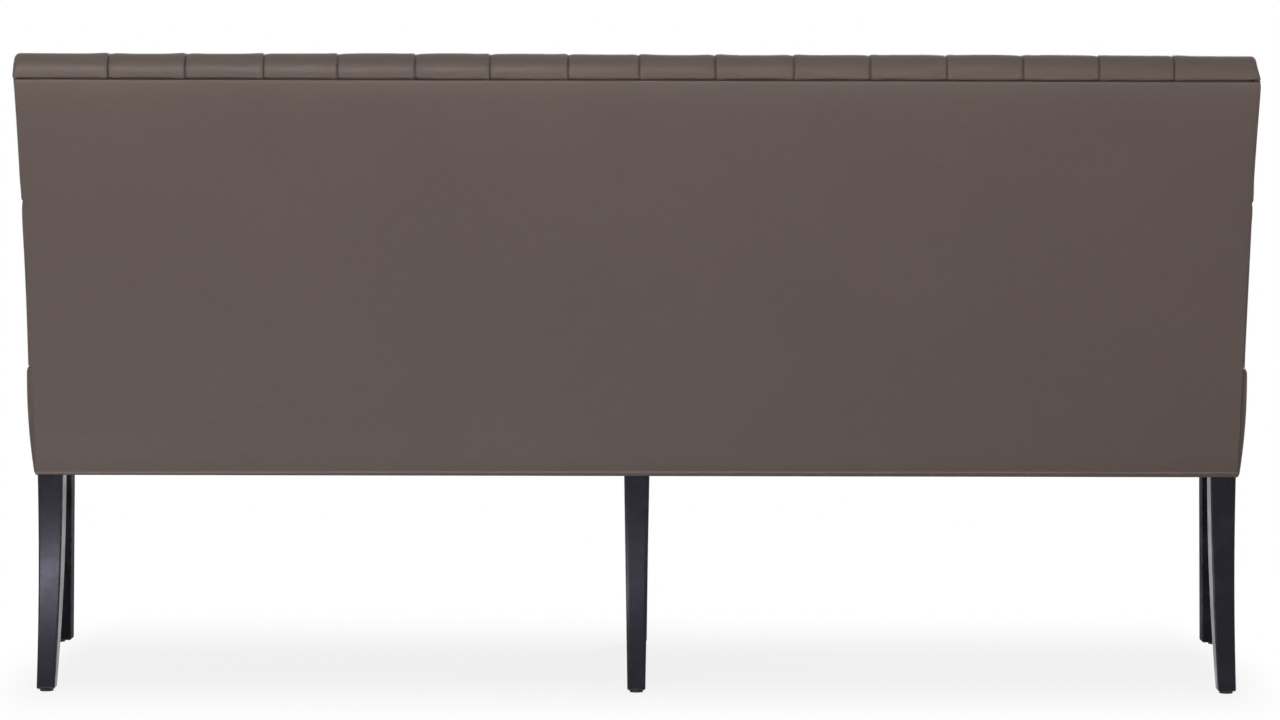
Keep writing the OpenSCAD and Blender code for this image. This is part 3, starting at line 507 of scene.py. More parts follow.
def back_section():
    """Places and outward directions along the section, close together."""
    low_a = lean_angle(crest_rho(PAD_LOW_A), PAD_LOW_Z + LOW_EDGE_R)
    start_a = lean_angle(crest_rho(lean_angle(FOAM_RHO, ROLL_START_Z)), ROLL_START_Z)
    front_a = np.linspace(low_a, start_a, 60)
    front = lean_point(crest_rho(front_a), front_a)
    low_y = front[0, 0] + LOW_EDGE_R
    under = circle_points(low_y, PAD_LOW_Z + LOW_EDGE_R, LOW_EDGE_R, 270, 186, 12)
    roll_a = lean_angle(crest_rho(RAIL_TOP_A), TOP_Z - ROLL_FRONT_R)
    roll_y = lean_point(crest_rho(roll_a), roll_a)[0] + ROLL_FRONT_R
    seam_y = lean_y(SEAM_RHO, SEAM_Z)
    rear_z = TOP_Z - ROLL_REAR_R
    rear_y = seam_y - math.sqrt(ROLL_REAR_R ** 2 - (rear_z - SEAM_Z) ** 2)
    seam_turn = math.degrees(math.asin((SEAM_Z - rear_z) / ROLL_REAR_R))
    over = circle_points(roll_y, TOP_Z - ROLL_FRONT_R, ROLL_FRONT_R, 150, 90, 30)
    behind = circle_points(rear_y, rear_z, ROLL_REAR_R, 90, seam_turn, 40)
    out = np.array([math.cos(math.radians(seam_turn)), math.sin(math.radians(seam_turn))])
    curl = circle_points(*(behind[-1] - out * CURL_R), CURL_R, seam_turn, seam_turn - CURL_TURN, 8)
    start_y = lean_point(foam_rho(PAD_LOW_A) + SOFT_GAP, PAD_LOW_A)[0]
    line = np.concatenate([[[start_y, PAD_LOW_Z]], under, front[1:], over, behind[1:], curl[1:]])
    walked = np.concatenate([[0], np.cumsum(np.linalg.norm(np.diff(line, axis=0), axis=1))])
    s = np.linspace(0, walked[-1], round(walked[-1] / SECTION_STEP))
    dense = np.stack([np.interp(s, walked, line[:, k]) for k in (0, 1)], -1)
    # Averaging over a few millimetres softens the joints between the arcs
    reach, width = 8, 3.0
    weights = np.exp(-0.5 * (np.arange(-reach, reach + 1) / width) ** 2)
    steps = np.arange(1, reach + 1)[:, None]
    before = dense[0] + (dense[0] - dense[1]) * steps[::-1]
    after = dense[-1] + (dense[-1] - dense[-2]) * steps
    longer = np.concatenate([before, dense, after])
    even = np.stack([np.convolve(longer[:, k], weights / weights.sum(), "valid") for k in (0, 1)], -1)
    along = np.gradient(even, axis=0)
    along /= np.linalg.norm(along, axis=1)[:, None]
    return s, even, np.stack([-along[:, 1], along[:, 0]], -1)


SECTION_S, SECTION_P, SECTION_N = back_section()


def section_place(s):
    """Place (y, z) and outward direction of the back's section at a distance along it."""
    place = np.stack([np.interp(s, SECTION_S, SECTION_P[:, k]) for k in (0, 1)], -1)
    out = np.stack([np.interp(s, SECTION_S, SECTION_N[:, k]) for k in (0, 1)], -1)
    return place, out / np.linalg.norm(out, axis=-1)[..., None]


def section_at(z):
    """Distance along the section of its point that stands out from the foam at a height."""
    a = lean_angle(foam_rho(lean_angle(FOAM_RHO, z)), z)
    target = lean_point(crest_rho(a), a)
    return float(SECTION_S[np.argmin(np.linalg.norm(SECTION_P - target, axis=1))])


S_LOW, S_MID, S_HIGH = [section_at(z) for z in ROW_HEIGHTS]
S_END = float(SECTION_S[-1])
S_ROLL = float(SECTION_S[np.argmax(SECTION_P[:, 1] > ROLL_START_Z)])
S_SEAM = S_END - CURL_R * math.radians(CURL_TURN)
HALF_PITCH = PITCH / 2

# Depth of the quilting, and how far each fold laps over its neighbour
BUTTON_DEPTH = PAD_CREST - PAD_BUTTON
END_DEPTH, MID_DEPTH, SKIRT_DEPTH = 15.0, 10.0, 11.0
CREASE_REACH, CREASE_CURVE = 47.0, 2.3
BUTTON_REACH, BUTTON_CURVE = 48.0, 1.7
SIDE_PLEAT = 260.0
# The leather's gathers round each button, and how far from the buttons the folds set in
GATHER_COUNT, GATHER_RISE, GATHER_R, GATHER_W, GATHER_TURN = 17, 0.55, 19.0, 8.0, 2.4
FADE_FROM, FADE_TO = 8.0, 26.0
LAP, LAP_LIFT = 2.6, 1.9
ROLL_LAP, ROLL_LIFT = 1.5, 1.2
BLEND_POWER = 4.0
# The filling is a little uneven, in long waves. Painted shade darkens the leather in its creases,
# less so beside the buttons, and a painted highlight, partly wear, makes it a little paler on its crests
UNEVEN, WAVE_X, WAVE_S = 0.8, 131.0, 97.0
CREASE_SHADE_W, BUTTON_SHADE = 1.8, 0.35
CREST_PALE, CREST_DEPTH = 0.14, 9.0


def button_places():
    """Buttons as (x, distance along the section): three rows, the middle one set off by half."""
    low = [(k * PITCH, S_LOW) for k in range(-LAST_COLUMN, LAST_COLUMN + 1)]
    middle = [((k + 0.5) * PITCH, S_MID) for k in range(-LAST_COLUMN - 1, LAST_COLUMN + 1)]
    high = [(k * PITCH, S_HIGH) for k in range(-LAST_COLUMN, LAST_COLUMN + 1)]
    return low + middle + high


def crease_lines():
    """Creases between buttons and away from them: start, end, and the kind of each."""
    lines = []
    for k in range(-LAST_COLUMN, LAST_COLUMN + 1):
        x = k * PITCH
        for side in (-1, 1):
            lines.append(((x, S_LOW), (x + side * HALF_PITCH, S_MID), "diagonal"))
            lines.append(((x, S_HIGH), (x + side * HALF_PITCH, S_MID), "diagonal"))
        lines.append(((x, S_HIGH), (x, S_END), "roll"))
        lines.append(((x, S_LOW), (x, 0.0), "skirt"))
    for side in (-1, 1):
        start = side * (LAST_COLUMN + 0.5) * PITCH
        lines.append(((start, S_MID), (start + side * SIDE_PLEAT, S_MID), "side"))
    return lines


def crease_depth(kind, along, length):
    """Depth of a crease at a distance from its start, and how wide it opens."""
    if kind == "diagonal":
        end_share = (2 * along / length - 1) ** 2
        return MID_DEPTH + (END_DEPTH - MID_DEPTH) * end_share, np.full_like(along, CREASE_REACH)
    if kind == "skirt":
        # It runs out where the cover turns in under the back
        lowest = 1 - 0.85 * smooth(length - 46, length - 22, along)
        depth = END_DEPTH + (SKIRT_DEPTH - END_DEPTH) * smooth(0, length, along)
        return depth * lowest, np.full_like(along, CREASE_REACH)
    if kind == "roll":
        bend = S_ROLL - S_HIGH
        depth = np.interp(along, [0, bend * 0.45, bend, bend + 32, bend + 60, length - 14, length],
                          [END_DEPTH, 10.5, 6.0, 2.9, 2.0, 1.5, 1.0])
        reach = np.interp(along, [0, bend * 0.5, bend + 20, bend + 60, length],
                          [CREASE_REACH, 44.0, 26.0, 16.0, 12.0])
        return depth, reach
    depth = np.interp(along, [0, 30, 58, 80, 140, SIDE_PLEAT], [END_DEPTH, 10.0, 7.0, 4.5, 2.2, 1.2])
    return depth, np.interp(along, [0, 60, 100, SIDE_PLEAT], [CREASE_REACH, 34.0, 20.0, 12.0])


def quilt_depth(x, s):
    """Depth of the quilted leather below its crest: deepest at the buttons, and along creases."""
    total = np.zeros_like(x)
    for (x1, s1), (x2, s2), kind in crease_lines():
        length = math.hypot(x2 - x1, s2 - s1)
        ux, us = (x2 - x1) / length, (s2 - s1) / length
        near = (x > min(x1, x2) - CREASE_REACH) & (x < max(x1, x2) + CREASE_REACH)
        if not near.any():
            continue
        along = np.clip((x[near] - x1) * ux + (s[near] - s1) * us, 0, length)
        away = np.hypot(x[near] - x1 - along * ux, s[near] - s1 - along * us)
        depth, reach = crease_depth(kind, along, length)
        total[near] += (depth * np.clip(1 - away / reach, 0, 1) ** CREASE_CURVE) ** BLEND_POWER
    for number, (bx, bs) in enumerate(button_places()):
        near = (np.abs(x - bx) < BUTTON_REACH) & (np.abs(s - bs) < BUTTON_REACH)
        r = np.hypot(x[near] - bx, s[near] - bs)
        dimple = BUTTON_DEPTH * np.clip(1 - r / BUTTON_REACH, 0, 1) ** BUTTON_CURVE
        turn = np.arctan2(s[near] - bs, x[near] - bx)
        # Fine gathers stand round each button, strongest just outside its rim
        ring = GATHER_RISE * np.exp(-((r - GATHER_R) / GATHER_W) ** 2)
        gathers = ring * np.sin(GATHER_COUNT * turn + number * GATHER_TURN)
        total[near] += np.maximum(dimple + gathers, 0) ** BLEND_POWER
    return np.minimum(total ** (1 / BLEND_POWER), BUTTON_DEPTH)


def fade_at_buttons(x, s):
    """0 under the buttons and 1 away from them, so that folds run out beneath each button."""
    nearest = np.full_like(x, FAR)
    for bx, bs in button_places():
        near = (np.abs(x - bx) < FADE_TO) & (np.abs(s - bs) < FADE_TO)
        nearest[near] = np.minimum(nearest[near], np.hypot(x[near] - bx, s[near] - bs))
    return smooth(FADE_FROM, FADE_TO, nearest)


def lap_shift(away):
    """How far a folded edge reaches over its neighbour at a distance from it, as a share that
    comes to 1 at its most."""
    q = np.maximum(away, 0) / 3.0
    return 2.33 * np.sqrt(q) * np.exp(-q)


def lap_rise(away):
    """How far a folded edge rises at a distance from it, as a share that comes to 1."""
    q = np.maximum(away, 0) / 3.5
    return q * np.exp(1 - q)


# Spacing of the cover's rows on the front and over the roll, and of those close to the side pleat
FRONT_ROW, ROLL_ROW = 4.2, 2.6
PLEAT_ROWS, PLEAT_CLEAR = (0.5, 1.5, 3.2, 5.6), 7.5


def quilt_rows():
    """Rows of the quilted cover along its section, closer together by the side pleat."""
    rows = []
    for a, b in ((0, S_LOW), (S_LOW, S_MID), (S_MID, S_HIGH), (S_HIGH, S_ROLL), (S_ROLL, S_END)):
        step = FRONT_ROW if a < S_ROLL else ROLL_ROW
        rows += list(np.linspace(a, b, max(2, round((b - a) / step)) + 1)[:-1])
    rows = [r for r in rows if not 0 < abs(r - S_MID) < PLEAT_CLEAR] + [S_END]
    rows += [S_MID + side * e for side in (-1, 1) for e in PLEAT_ROWS]
    return np.array(sorted(rows))


ROWS = quilt_rows()
# Places across a panel as shares of its half width, closer together at its edges
ACROSS = np.sin(np.linspace(-1, 1, 27) * math.pi / 2)
# The three kinds of panel: the rows that it runs between, its width along them as shares of the
# pitch, its sloping creases from its middle outwards with whether it laps over there, and the
# stretch of its upright creases
PANELS = {
    "diamond": {"rows": (S_LOW, S_HIGH), "widths": ((S_LOW, S_MID, S_HIGH), (0, 1, 0)),
                "slopes": ((S_LOW, S_MID, True), (S_HIGH, S_MID, False)), "uprights": ()},
    "upper": {"rows": (S_MID, S_END), "widths": ((S_MID, S_HIGH), (0, 1)),
              "slopes": ((S_MID, S_HIGH, True),), "uprights": ((S_HIGH, S_END),)},
    "lower": {"rows": (0.0, S_MID), "widths": ((S_LOW, S_MID), (1, 0)),
              "slopes": ((S_MID, S_LOW, False),), "uprights": ((0.0, S_LOW),)}}


def panel_rows(kind):
    """The rows that a kind of panel spans."""
    low, high = PANELS[kind]["rows"]
    return ROWS[(ROWS >= low - 1e-6) & (ROWS <= high + 1e-6)]


def half_width(s, kind):
    """Half the width of a panel, which narrows towards its points."""
    return HALF_PITCH * np.interp(s, *PANELS[kind]["widths"])


def laps_over(crease, on_low_side):
    """Whether the panel on a side of an upright crease laps over its neighbour: its low side in x or
    its high one. The laps of the back's two halves face opposite ways."""
    return crease <= 0 if on_low_side else crease >= 1


def fold_size(x, s):
    """Lap and lift of a fold: large on the front, slight over the roll and round the sides."""
    t = np.maximum(smooth(S_HIGH + 20, S_ROLL + 25, s), smooth(880, 960, np.abs(x)))
    return LAP + (ROLL_LAP - LAP) * t, LAP_LIFT + (ROLL_LIFT - LAP_LIFT) * t


def sloping(inner, outer, side, over):
    """A sloping crease, with the way that the panel laps over it, if it does."""
    length = math.hypot(outer[0] - inner[0], outer[1] - inner[1])
    out = (side * abs(outer[1] - inner[1]) / length, -abs(outer[0] - inner[0]) / length)
    return inner, outer, out if over else None


def upright(x, s1, s2, side):
    """An upright crease on a side of a panel, with the way that the panel laps there, if it does."""
    return (x, s1), (x, s2), (side, 0.0) if laps_over(round(x / PITCH), side > 0) else None


def panel_edges(x_mid, kind, sides=(-1, 1)):
    """The creases on the sides of a panel."""
    edges = []
    for side in sides:
        x = x_mid + side * HALF_PITCH
        edges += [sloping((x_mid, s1), (x, s2), side, over) for s1, s2, over in PANELS[kind]["slopes"]]
        edges += [upright(x, s1, s2, side) for s1, s2 in PANELS[kind]["uprights"]]
    return edges


def end_edges(side, kind):
    """The creases of the panel at an end of the back, above or below the side pleat, over which the
    upper one laps."""
    start = side * (LAST_COLUMN + 0.5) * PITCH
    pleat_end = start + side * SIDE_PLEAT
    lap = (0.0, -1.0) if kind == "upper" else None
    return panel_edges(start, kind, (-side,)) + [((start, S_MID), (pleat_end, S_MID), lap)]


def panel_folds(x, s, edges):
    """How far a panel's points move in its plane and rise where its edges lap over others, and
    how far they are from a crease."""
    shift_x, shift_s, rise = np.zeros_like(x), np.zeros_like(x), np.zeros_like(x)
    nearest = np.full_like(x, FAR)
    fade = fade_at_buttons(x, s)
    lap, lift = fold_size(x, s)
    for (x1, s1), (x2, s2), out in edges:
        length = math.hypot(x2 - x1, s2 - s1)
        ux, us = (x2 - x1) / length, (s2 - s1) / length
        along = (x - x1) * ux + (s - s1) * us
        past = np.maximum(np.maximum(-along, along - length), 0)
        away = np.hypot((x - x1) * us - (s - s1) * ux, past)
        nearest = np.minimum(nearest, away)
        if out:
            weight = fade * smooth(12, 0, past)
            shift_x += weight * lap * lap_shift(away) * out[0]
            shift_s += weight * lap * lap_shift(away) * out[1]
            rise += weight * lift * lap_rise(away)
    return shift_x, shift_s, rise, nearest


# Ends of the inside back: it turns round a corner and runs back along the side to the rear
CORNER_R, ROLL_CORNER_R, REAR_CORNER_R = 16.0, 8.0, 4.0
RETURN_X = 898.0
WALL_RHO = LEAN_R + SOFT_GAP
SEAM_A = lean_angle(SEAM_RHO, SEAM_Z)


def wall_place(s):
    """Where the side face of the back meets its rear, for a row of the section: level with the
    row up the front, and on up to the seam for the rows over the roll."""
    height = np.maximum(section_place(s)[0][..., 1], PAD_LOW_Z + SOFT_GAP)
    top = lean_angle(WALL_RHO, ROLL_START_Z)
    over = np.clip((s - S_ROLL) / (S_SEAM - S_ROLL), 0, 1)
    a = np.where(s < S_ROLL, lean_angle(WALL_RHO, np.minimum(height, ROLL_START_Z)),
                 top + (SEAM_A - top) * over)
    wall = lean_point(WALL_RHO, a)
    past = (s > S_SEAM)[..., None]
    return np.where(past, section_place(s)[0] + lean_point(WALL_RHO, SEAM_A)
                    - section_place(np.full_like(s, S_SEAM))[0], wall)


def corner_radii(s, reach):
    """Radii of the back's front and rear corners."""
    front = CORNER_R + (ROLL_CORNER_R - CORNER_R) * smooth(S_ROLL - 20, S_ROLL + 40, s)
    return np.minimum(front, 0.4 * reach), np.minimum(REAR_CORNER_R, 0.3 * reach)


def end_columns(s, edge_x):
    """Distances over an end of the back for one row, from its crease to the return behind it."""
    place, _ = section_place(s)
    reach = float(np.linalg.norm(wall_place(np.array(s)) - place))
    front_r, rear_r = corner_radii(s, reach)
    flat = pad_side_x(place[1]) - front_r
    marks = [flat + front_r * math.pi / 2]
    marks.append(marks[0] + reach - front_r - rear_r)
    marks.append(marks[1] + rear_r * math.pi / 2)
    marks.append(marks[2] + pad_side_x(place[1]) - rear_r - RETURN_X)
    across = edge_x + (flat - edge_x) * (1 - np.cos(np.linspace(0, math.pi / 2, 17)))
    return np.concatenate([across, np.linspace(flat, marks[0], 8)[1:],
                           np.linspace(marks[0], marks[1], 15)[1:],
                           np.linspace(marks[1], marks[2], 5)[1:],
                           np.linspace(marks[2], marks[3], 3)[1:]])


def wrapped(u, s):
    """Place and outward direction on the left end of the back, at a distance u that runs along x,
    round the corner, back along the side and in behind it."""
    place, out = section_place(s)
    inward = wall_place(s) - place
    reach = np.linalg.norm(inward, axis=-1)
    inward /= reach[..., None]
    front_r, rear_r = corner_radii(s, reach)
    side_x = pad_side_x(place[..., 1])
    past = u - (side_x - front_r)
    turn = np.clip(past / front_r, 0, math.pi / 2)
    run = np.maximum(past - front_r * math.pi / 2, 0)
    straight = np.minimum(run, reach - front_r - rear_r)
    rear_turn = np.clip((run - straight) / rear_r, 0, math.pi / 2)
    tail = np.maximum(run - straight - rear_r * math.pi / 2, 0)
    x = (np.where(past < 0, u, side_x - front_r * (1 - np.sin(turn)))
         - rear_r * (1 - np.cos(rear_turn)) - tail)
    back = front_r * (1 - np.cos(turn)) + straight + rear_r * np.sin(rear_turn)
    yz = place + inward * back[..., None]
    x = x + np.clip(past / front_r, 0, 1) * (pad_side_x(yz[..., 1]) - side_x)
    sideways = np.sin(turn) * np.cos(rear_turn)
    facing = out * np.cos(turn)[..., None] + inward * np.sin(rear_turn)[..., None]
    return (np.concatenate([x[..., None], yz], -1), np.concatenate([sideways[..., None], facing], -1))


# Laid by hand, the pleats cross the roll up to 13 mm to the right of their buttons, as seen from
# behind the bench. The roll's ends lie a little to the left.
PLEAT_PLACES = [-895.0] + [k * PITCH for k in range(-LAST_COLUMN, LAST_COLUMN + 1)] + [895.0]
PLEAT_OFFSETS = [0.0, -0.7, -3.1, -4.2, -4.7, -4.5, -5.0, -2.5, -3.0, -10.2, -7.8, -10.5, -8.8,
                 -13.2, -10.3, -9.8, 0.0]
ROLL_END_OFFSET = 3.0


def laid_beside(x, s, z):
    """How far the leather lies along x from its place in the even pattern."""
    return (np.interp(x, PLEAT_PLACES, PLEAT_OFFSETS) * smooth(S_HIGH + 15, S_ROLL, s)
            + ROLL_END_OFFSET * smooth(ROLL_LOW_Z, ROLL_HIGH_Z, z) * smooth(820, 900, np.abs(x)))


def quilt_skin(x, s, edges, side=0):
    """Points of a quilted panel with their marks, flat along the section or wrapped at an end."""
    shift_x, shift_s, rise, nearest = panel_folds(x, s, edges)
    depth = quilt_depth(x, s)
    if side:
        base, out = wrapped(np.abs(x + shift_x), np.clip(s + shift_s, 0, S_END))
        base[..., 0] *= side
        out[..., 0] *= side
    else:
        place, turn = section_place(s + shift_s)
        base = np.concatenate([(x + shift_x)[..., None], place], -1)
        out = np.concatenate([np.zeros_like(x)[..., None], turn], -1)
    base[..., 0] += laid_beside(x, s, base[..., 2])
    uneven = UNEVEN * np.sin(x / WAVE_X + 1.3 * np.sin(s / WAVE_S)) * smooth(6, 40, nearest)
    points = base + out * (rise - depth + uneven)[..., None]
    # Painted shade along the creases, lighter beside the buttons, and a painted highlight on the crests
    shade = BUTTON_SHADE + (1 - BUTTON_SHADE) * fade_at_buttons(x, s)
    fold = np.exp(-(nearest / CREASE_SHADE_W) ** 2) * shade
    return points, fold, CREST_PALE * smooth(CREST_DEPTH, 0, depth)


def inside_back():
    """The deep-buttoned inside back, as one closed form round the foam: diamonds, the panels above
    and below them, the two ends, and an inner skin."""
    patches, panels, ends = [], {}, {}
    for kind, count in (("diamond", 2 * LAST_COLUMN + 1), ("upper", 2 * LAST_COLUMN),
                        ("lower", 2 * LAST_COLUMN)):
        rows = panel_rows(kind)
        s = np.repeat(rows[:, None], len(ACROSS), 1)
        panels[kind] = []
        for k in range(count):
            x_mid = (k - (count - 1) / 2) * PITCH
            x = x_mid + half_width(rows, kind)[:, None] * ACROSS[None, :]
            panels[kind].append(quilt_skin(x, s, panel_edges(x_mid, kind)))
        patches += panels[kind]
    for side in (-1, 1):
        for kind in ("upper", "lower"):
            rows = panel_rows(kind)
            edge = LAST_COLUMN * PITCH + HALF_PITCH - half_width(rows, kind)
            x = side * np.stack([end_columns(s, e) for s, e in zip(rows, edge)])
            s = np.repeat(rows[:, None], x.shape[1], 1)
            patches.append(quilt_skin(x, s, end_edges(side, kind), side))
            ends[side, kind] = patches[-1][0]
    # The inner skin runs from the seam down over the top rail and along the foam
    borders = {}
    for kind, row in (("upper", -1), ("lower", 0)):
        middle = [points[row] for points, _, _ in panels[kind]]
        borders[kind] = np.concatenate([ends[-1, kind][row][::-1], *middle, ends[1, kind][row]])
    top_a = RAIL_TOP_A + SOFT_GAP / LEAN_R
    stations = [(LEAN_R - SOFT_GAP, SEAM_A), (LEAN_R - SOFT_GAP, top_a)]
    stations += [(foam_rho(a) + SOFT_GAP, a) for a in np.linspace(top_a, PAD_LOW_A, 10)[:-1]]
    down = np.linspace(0, 1, len(stations) + 2)[1:-1]
    inner = [borders["upper"]]
    for t, (rho, a) in zip(down, stations):
        x = borders["upper"][:, 0] * (1 - t) + borders["lower"][:, 0] * t
        y, z = lean_point(rho, a)
        inner.append(np.stack([np.clip(x, -HALF_REAR - SOFT_GAP, HALF_REAR + SOFT_GAP),
                               np.full_like(x, y), np.full_like(x, z)], -1))
    inner.append(borders["lower"])
    inner = np.stack(inner)
    patches.append((inner, np.zeros(inner.shape[:2]), np.zeros(inner.shape[:2])))
    points, faces = gather_patches([places for places, _, _ in patches])
    fold, crest = [np.concatenate([patch[k].reshape(-1) for patch in patches]) for k in (1, 2)]
    piece = make_piece("buttoned_inside_back", points, faces, LEATHER, "leather",
                       {"fold": fold, "crest": crest}, finish=close_holes)
    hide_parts("inside_back_cover")


inside_back()

# Covered buttons, each pulled down into its dimple: radii and heights from under the rim to the top
BUTTON_PROFILE = ((0.0, 2.6), (5.0, 3.4), (8.6, 5.2), (10.3, 6.2), (11.0, 7.3), (10.8, 8.5),
                  (9.8, 9.8), (8.0, 11.2), (5.4, 12.6), (2.6, 13.4), (0.0, 13.55))
BUTTON_SIDES = 36
BUTTON_GATHERS, GATHER_DEPTH, RIM_H, UNDER_RIM_SHADE = 12, 0.14, 6.5, 0.7


def covered_buttons():
    """All the buttons as one piece, each turned like a knob and standing out along the section."""
    points, faces, fold = [], [], []
    for number, (x, s) in enumerate(button_places()):
        place, out = section_place(np.array(s))
        base = place - out * (BUTTON_DEPTH - SOFT_GAP)
        up = np.array([-out[1], out[0]])
        start = len(points)
        for r, h in BUTTON_PROFILE[1:-1]:
            for k in range(BUTTON_SIDES):
                a = 2 * math.pi * k / BUTTON_SIDES
                # The leather is gathered under the rim, and its gathers just reach the edge
                at_rim = max(0.0, 1 - abs(h - RIM_H) / 3)
                gather = GATHER_DEPTH * math.sin(BUTTON_GATHERS * a + number) * at_rim
                y, z = base + up * (r + gather) * math.sin(a) + out * h
                points.append((x + (r + gather) * math.cos(a), y, z))
                fold.append(UNDER_RIM_SHADE if h < RIM_H else 0.0)
        rings = len(BUTTON_PROFILE) - 2
        faces += grid_faces(rings, BUTTON_SIDES, start, closed=True)
        for h, ring, turn in ((BUTTON_PROFILE[0][1], 0, -1), (BUTTON_PROFILE[-1][1], rings - 1, 1)):
            y, z = base + out * h
            points.append((x, y, z))
            fold.append(0.0)
            hub, first = len(points) - 1, start + ring * BUTTON_SIDES
            faces += [(hub, first + k, first + (k + 1) % BUTTON_SIDES)[::turn]
                      for k in range(BUTTON_SIDES)]
    piece = make_piece("covered_buttons", points, faces, BUTTON_LEATHER, "button_leather",
                       {"fold": fold})
    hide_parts("tufting_buttons")


covered_buttons()

# Seat: its cover bulges over the front and the sides, and is crowned on top
HEM_OUT = 7.5
SIDE_HEM_OUT = 4.7
SIDE_BULGE = 10.3
FRONT_BULGE = 18.0
# Rise of the cover's top to its middle, how much of it the swelling gives, and the foam's rise
SEAT_CROWN, SWELL_RISE, FOAM_CROWN = 17.0, 6.0, 10.0
WIDEST_Z = 454.0
HEM_Y = -FRAME_D - HEM_OUT
WIDEST_Y = HEM_Y - FRONT_BULGE
PAD_FRONT_Y = -96.4
SEAT_REAR_Y = -40.6
SEAT_EDGE_R = 25.0
REAR_EDGE_R = 8.0
# How far from an edge its rounding, its bulge and the crown fade
FRONT_FADE, BULGE_FADE, CROWN_FADE = 60.0, 450.0, 50.0
SIDE_BAND = 23.0
COVER_T = 5.0
COVER_H = SEAT_EDGE_Z - HEM_Z
# Lines over the seat: distances in from its front, its side and its top edge
EDGE_STEPS = [0.0, 2.5, 6.0, 11.0, 17.0]
CORNER_STEPS = [0.0, 2.6, 5.2, 7.4, 8.8, 10.2, 12.6, 17.0]
EVEN_FROM = 24.0
FRONT_ROWS = EDGE_STEPS + list(np.linspace(EVEN_FROM, SEAT_REAR_Y - WIDEST_Y, 42))
DROP_ROWS = EDGE_STEPS + list(np.linspace(EVEN_FROM, COVER_H - 6, 13))
SEAT_COLUMNS = 157
SHARES = np.concatenate([-np.ones(len(CORNER_STEPS)), np.linspace(-1, 1, SEAT_COLUMNS),
                         np.ones(len(CORNER_STEPS))])
SIDE_STEPS = np.concatenate([CORNER_STEPS, np.full(SEAT_COLUMNS, SIDE_BAND), CORNER_STEPS[::-1]])
# The leather is folded and sewn down beside each front corner, with a low ridge outside the groove
CORNER_FOLD, FOLD_GROOVE, FOLD_GROOVE_W = 8.8, 1.7, 1.5
CORNER_RIDGE, RIDGE_SHARE, RIDGE_W = 4.6, 0.4, 2.2
# The hem turns in under the rails: distances down from the top edge and inwards
HEM_TURN = ((COVER_H - 2.6, 0.3), (COVER_H - 0.9, 1.3), (COVER_H - 0.2, 3.4), (COVER_H - 0.2, 7.2))


def bulge_share(z):
    """How much of the seat's bulge has set in at a height."""
    return 1 - np.clip((WIDEST_Z - z) / (WIDEST_Z - HEM_Z), 0, 1) ** 2


def seat_side_x(y, z):
    """Half the width of the seat at a place in depth and a height."""
    return frame_half(y) + SIDE_HEM_OUT + SIDE_BULGE * bulge_share(z)


def seat_points(share, in_side, in_front, in_top, turned=0.0, ear=0.0, ear_short=0.0, inset=0.0,
                crown=SEAT_CROWN):
    """Points of the seat's form from their distances in from the side, the front and the top,
    which are rounded off where two or three of them are small. The ears run on beside the back's
    posts to their rear, and the hem is turned in."""
    share, in_side, in_front, in_top, turned, ear, ear_short = np.broadcast_arrays(
        share, in_side, in_front, in_top, turned, ear, ear_short)
    round_r = REAR_EDGE_R + (SEAT_EDGE_R - REAR_EDGE_R) * smooth(-60, -120, WIDEST_Y + in_front)
    edge = in_side + (1 - np.abs(share)) * FAR
    near = [np.maximum(0, round_r - d) for d in (edge, in_front, in_top)]
    length = np.sqrt(near[0] ** 2 + near[1] ** 2 + near[2] ** 2)
    scale = round_r / np.maximum(length, 1e-6)
    d_side, d_front, d_top = [np.where(n > 0, round_r - n * scale, d)
                              for n, d in zip(near, (in_side, in_front, in_top))]
    z = SEAT_EDGE_Z - d_top - inset
    front = HEM_Y + (WIDEST_Y - HEM_Y) * bulge_share(z)
    fore = smooth(FRONT_FADE, 0, in_front)
    y = (WIDEST_Y + d_front + (front - WIDEST_Y) * smooth(BULGE_FADE, 0, in_front)
         + fore * (inset + turned))
    if not inset:
        # Only the leather has the corner's fold
        groove = (np.exp(-((edge - CORNER_FOLD) / FOLD_GROOVE_W) ** 2)
                  - RIDGE_SHARE * np.exp(-((edge - CORNER_RIDGE) / RIDGE_W) ** 2))
        y = y + FOLD_GROOVE * groove * smooth(6, 22, in_top) * smooth(6, 0, in_front)
    rear = lean_y(LEAN_R, z) - SOFT_GAP - ear_short
    y = np.where(ear > 0, SEAT_REAR_Y + ear * (rear - SEAT_REAR_Y), y)
    x = share * (seat_side_x(y, z) - d_side - inset - turned)
    t = np.clip((y - WIDEST_Y) / (PAD_FRONT_Y - WIDEST_Y), 0, 1)
    lift = (crown * (1 - np.clip(np.abs(x) / seat_side_x(y, z), 0, 1) ** 4)
            * (1 - np.abs(2 * t - 1) ** 2.6))
    return np.stack([x, y, z + lift * smooth(CROWN_FADE, 0, in_top)], -1)


def box_patches(drops, turns, inset=0.0, crown=SEAT_CROWN):
    """Top, front and side faces of the seat's form, as grids of points."""
    rows = np.array(FRONT_ROWS)[:, None]
    drop, turned = np.array(drops)[:, None], np.array(turns)[:, None]
    patches = [seat_points(SHARES, SIDE_STEPS, rows, 0.0, inset=inset, crown=crown),
               seat_points(SHARES, SIDE_STEPS, 0.0, drop, turned, inset=inset, crown=crown)]
    for side in (-1.0, 1.0):
        patches.append(seat_points(side, 0.0, rows.T, drop, turned, inset=inset, crown=crown))
    return patches


# How the cover behaves as cloth. Its filling swells it against its own stiffness
SWELL_FRAMES = 20
SWELL_PRESSURE = 4.0
CLOTH = {"quality": 5, "mass": 0.5, "tension_stiffness": 20, "compression_stiffness": 20,
         "shear_stiffness": 8, "bending_stiffness": 4, "use_pressure": True,
         "uniform_pressure_force": SWELL_PRESSURE, "vertex_group_mass": "held"}
INWARD_CAP = 1.2
EDGE_CAP, TOP_CAP = 2.0, 9.0


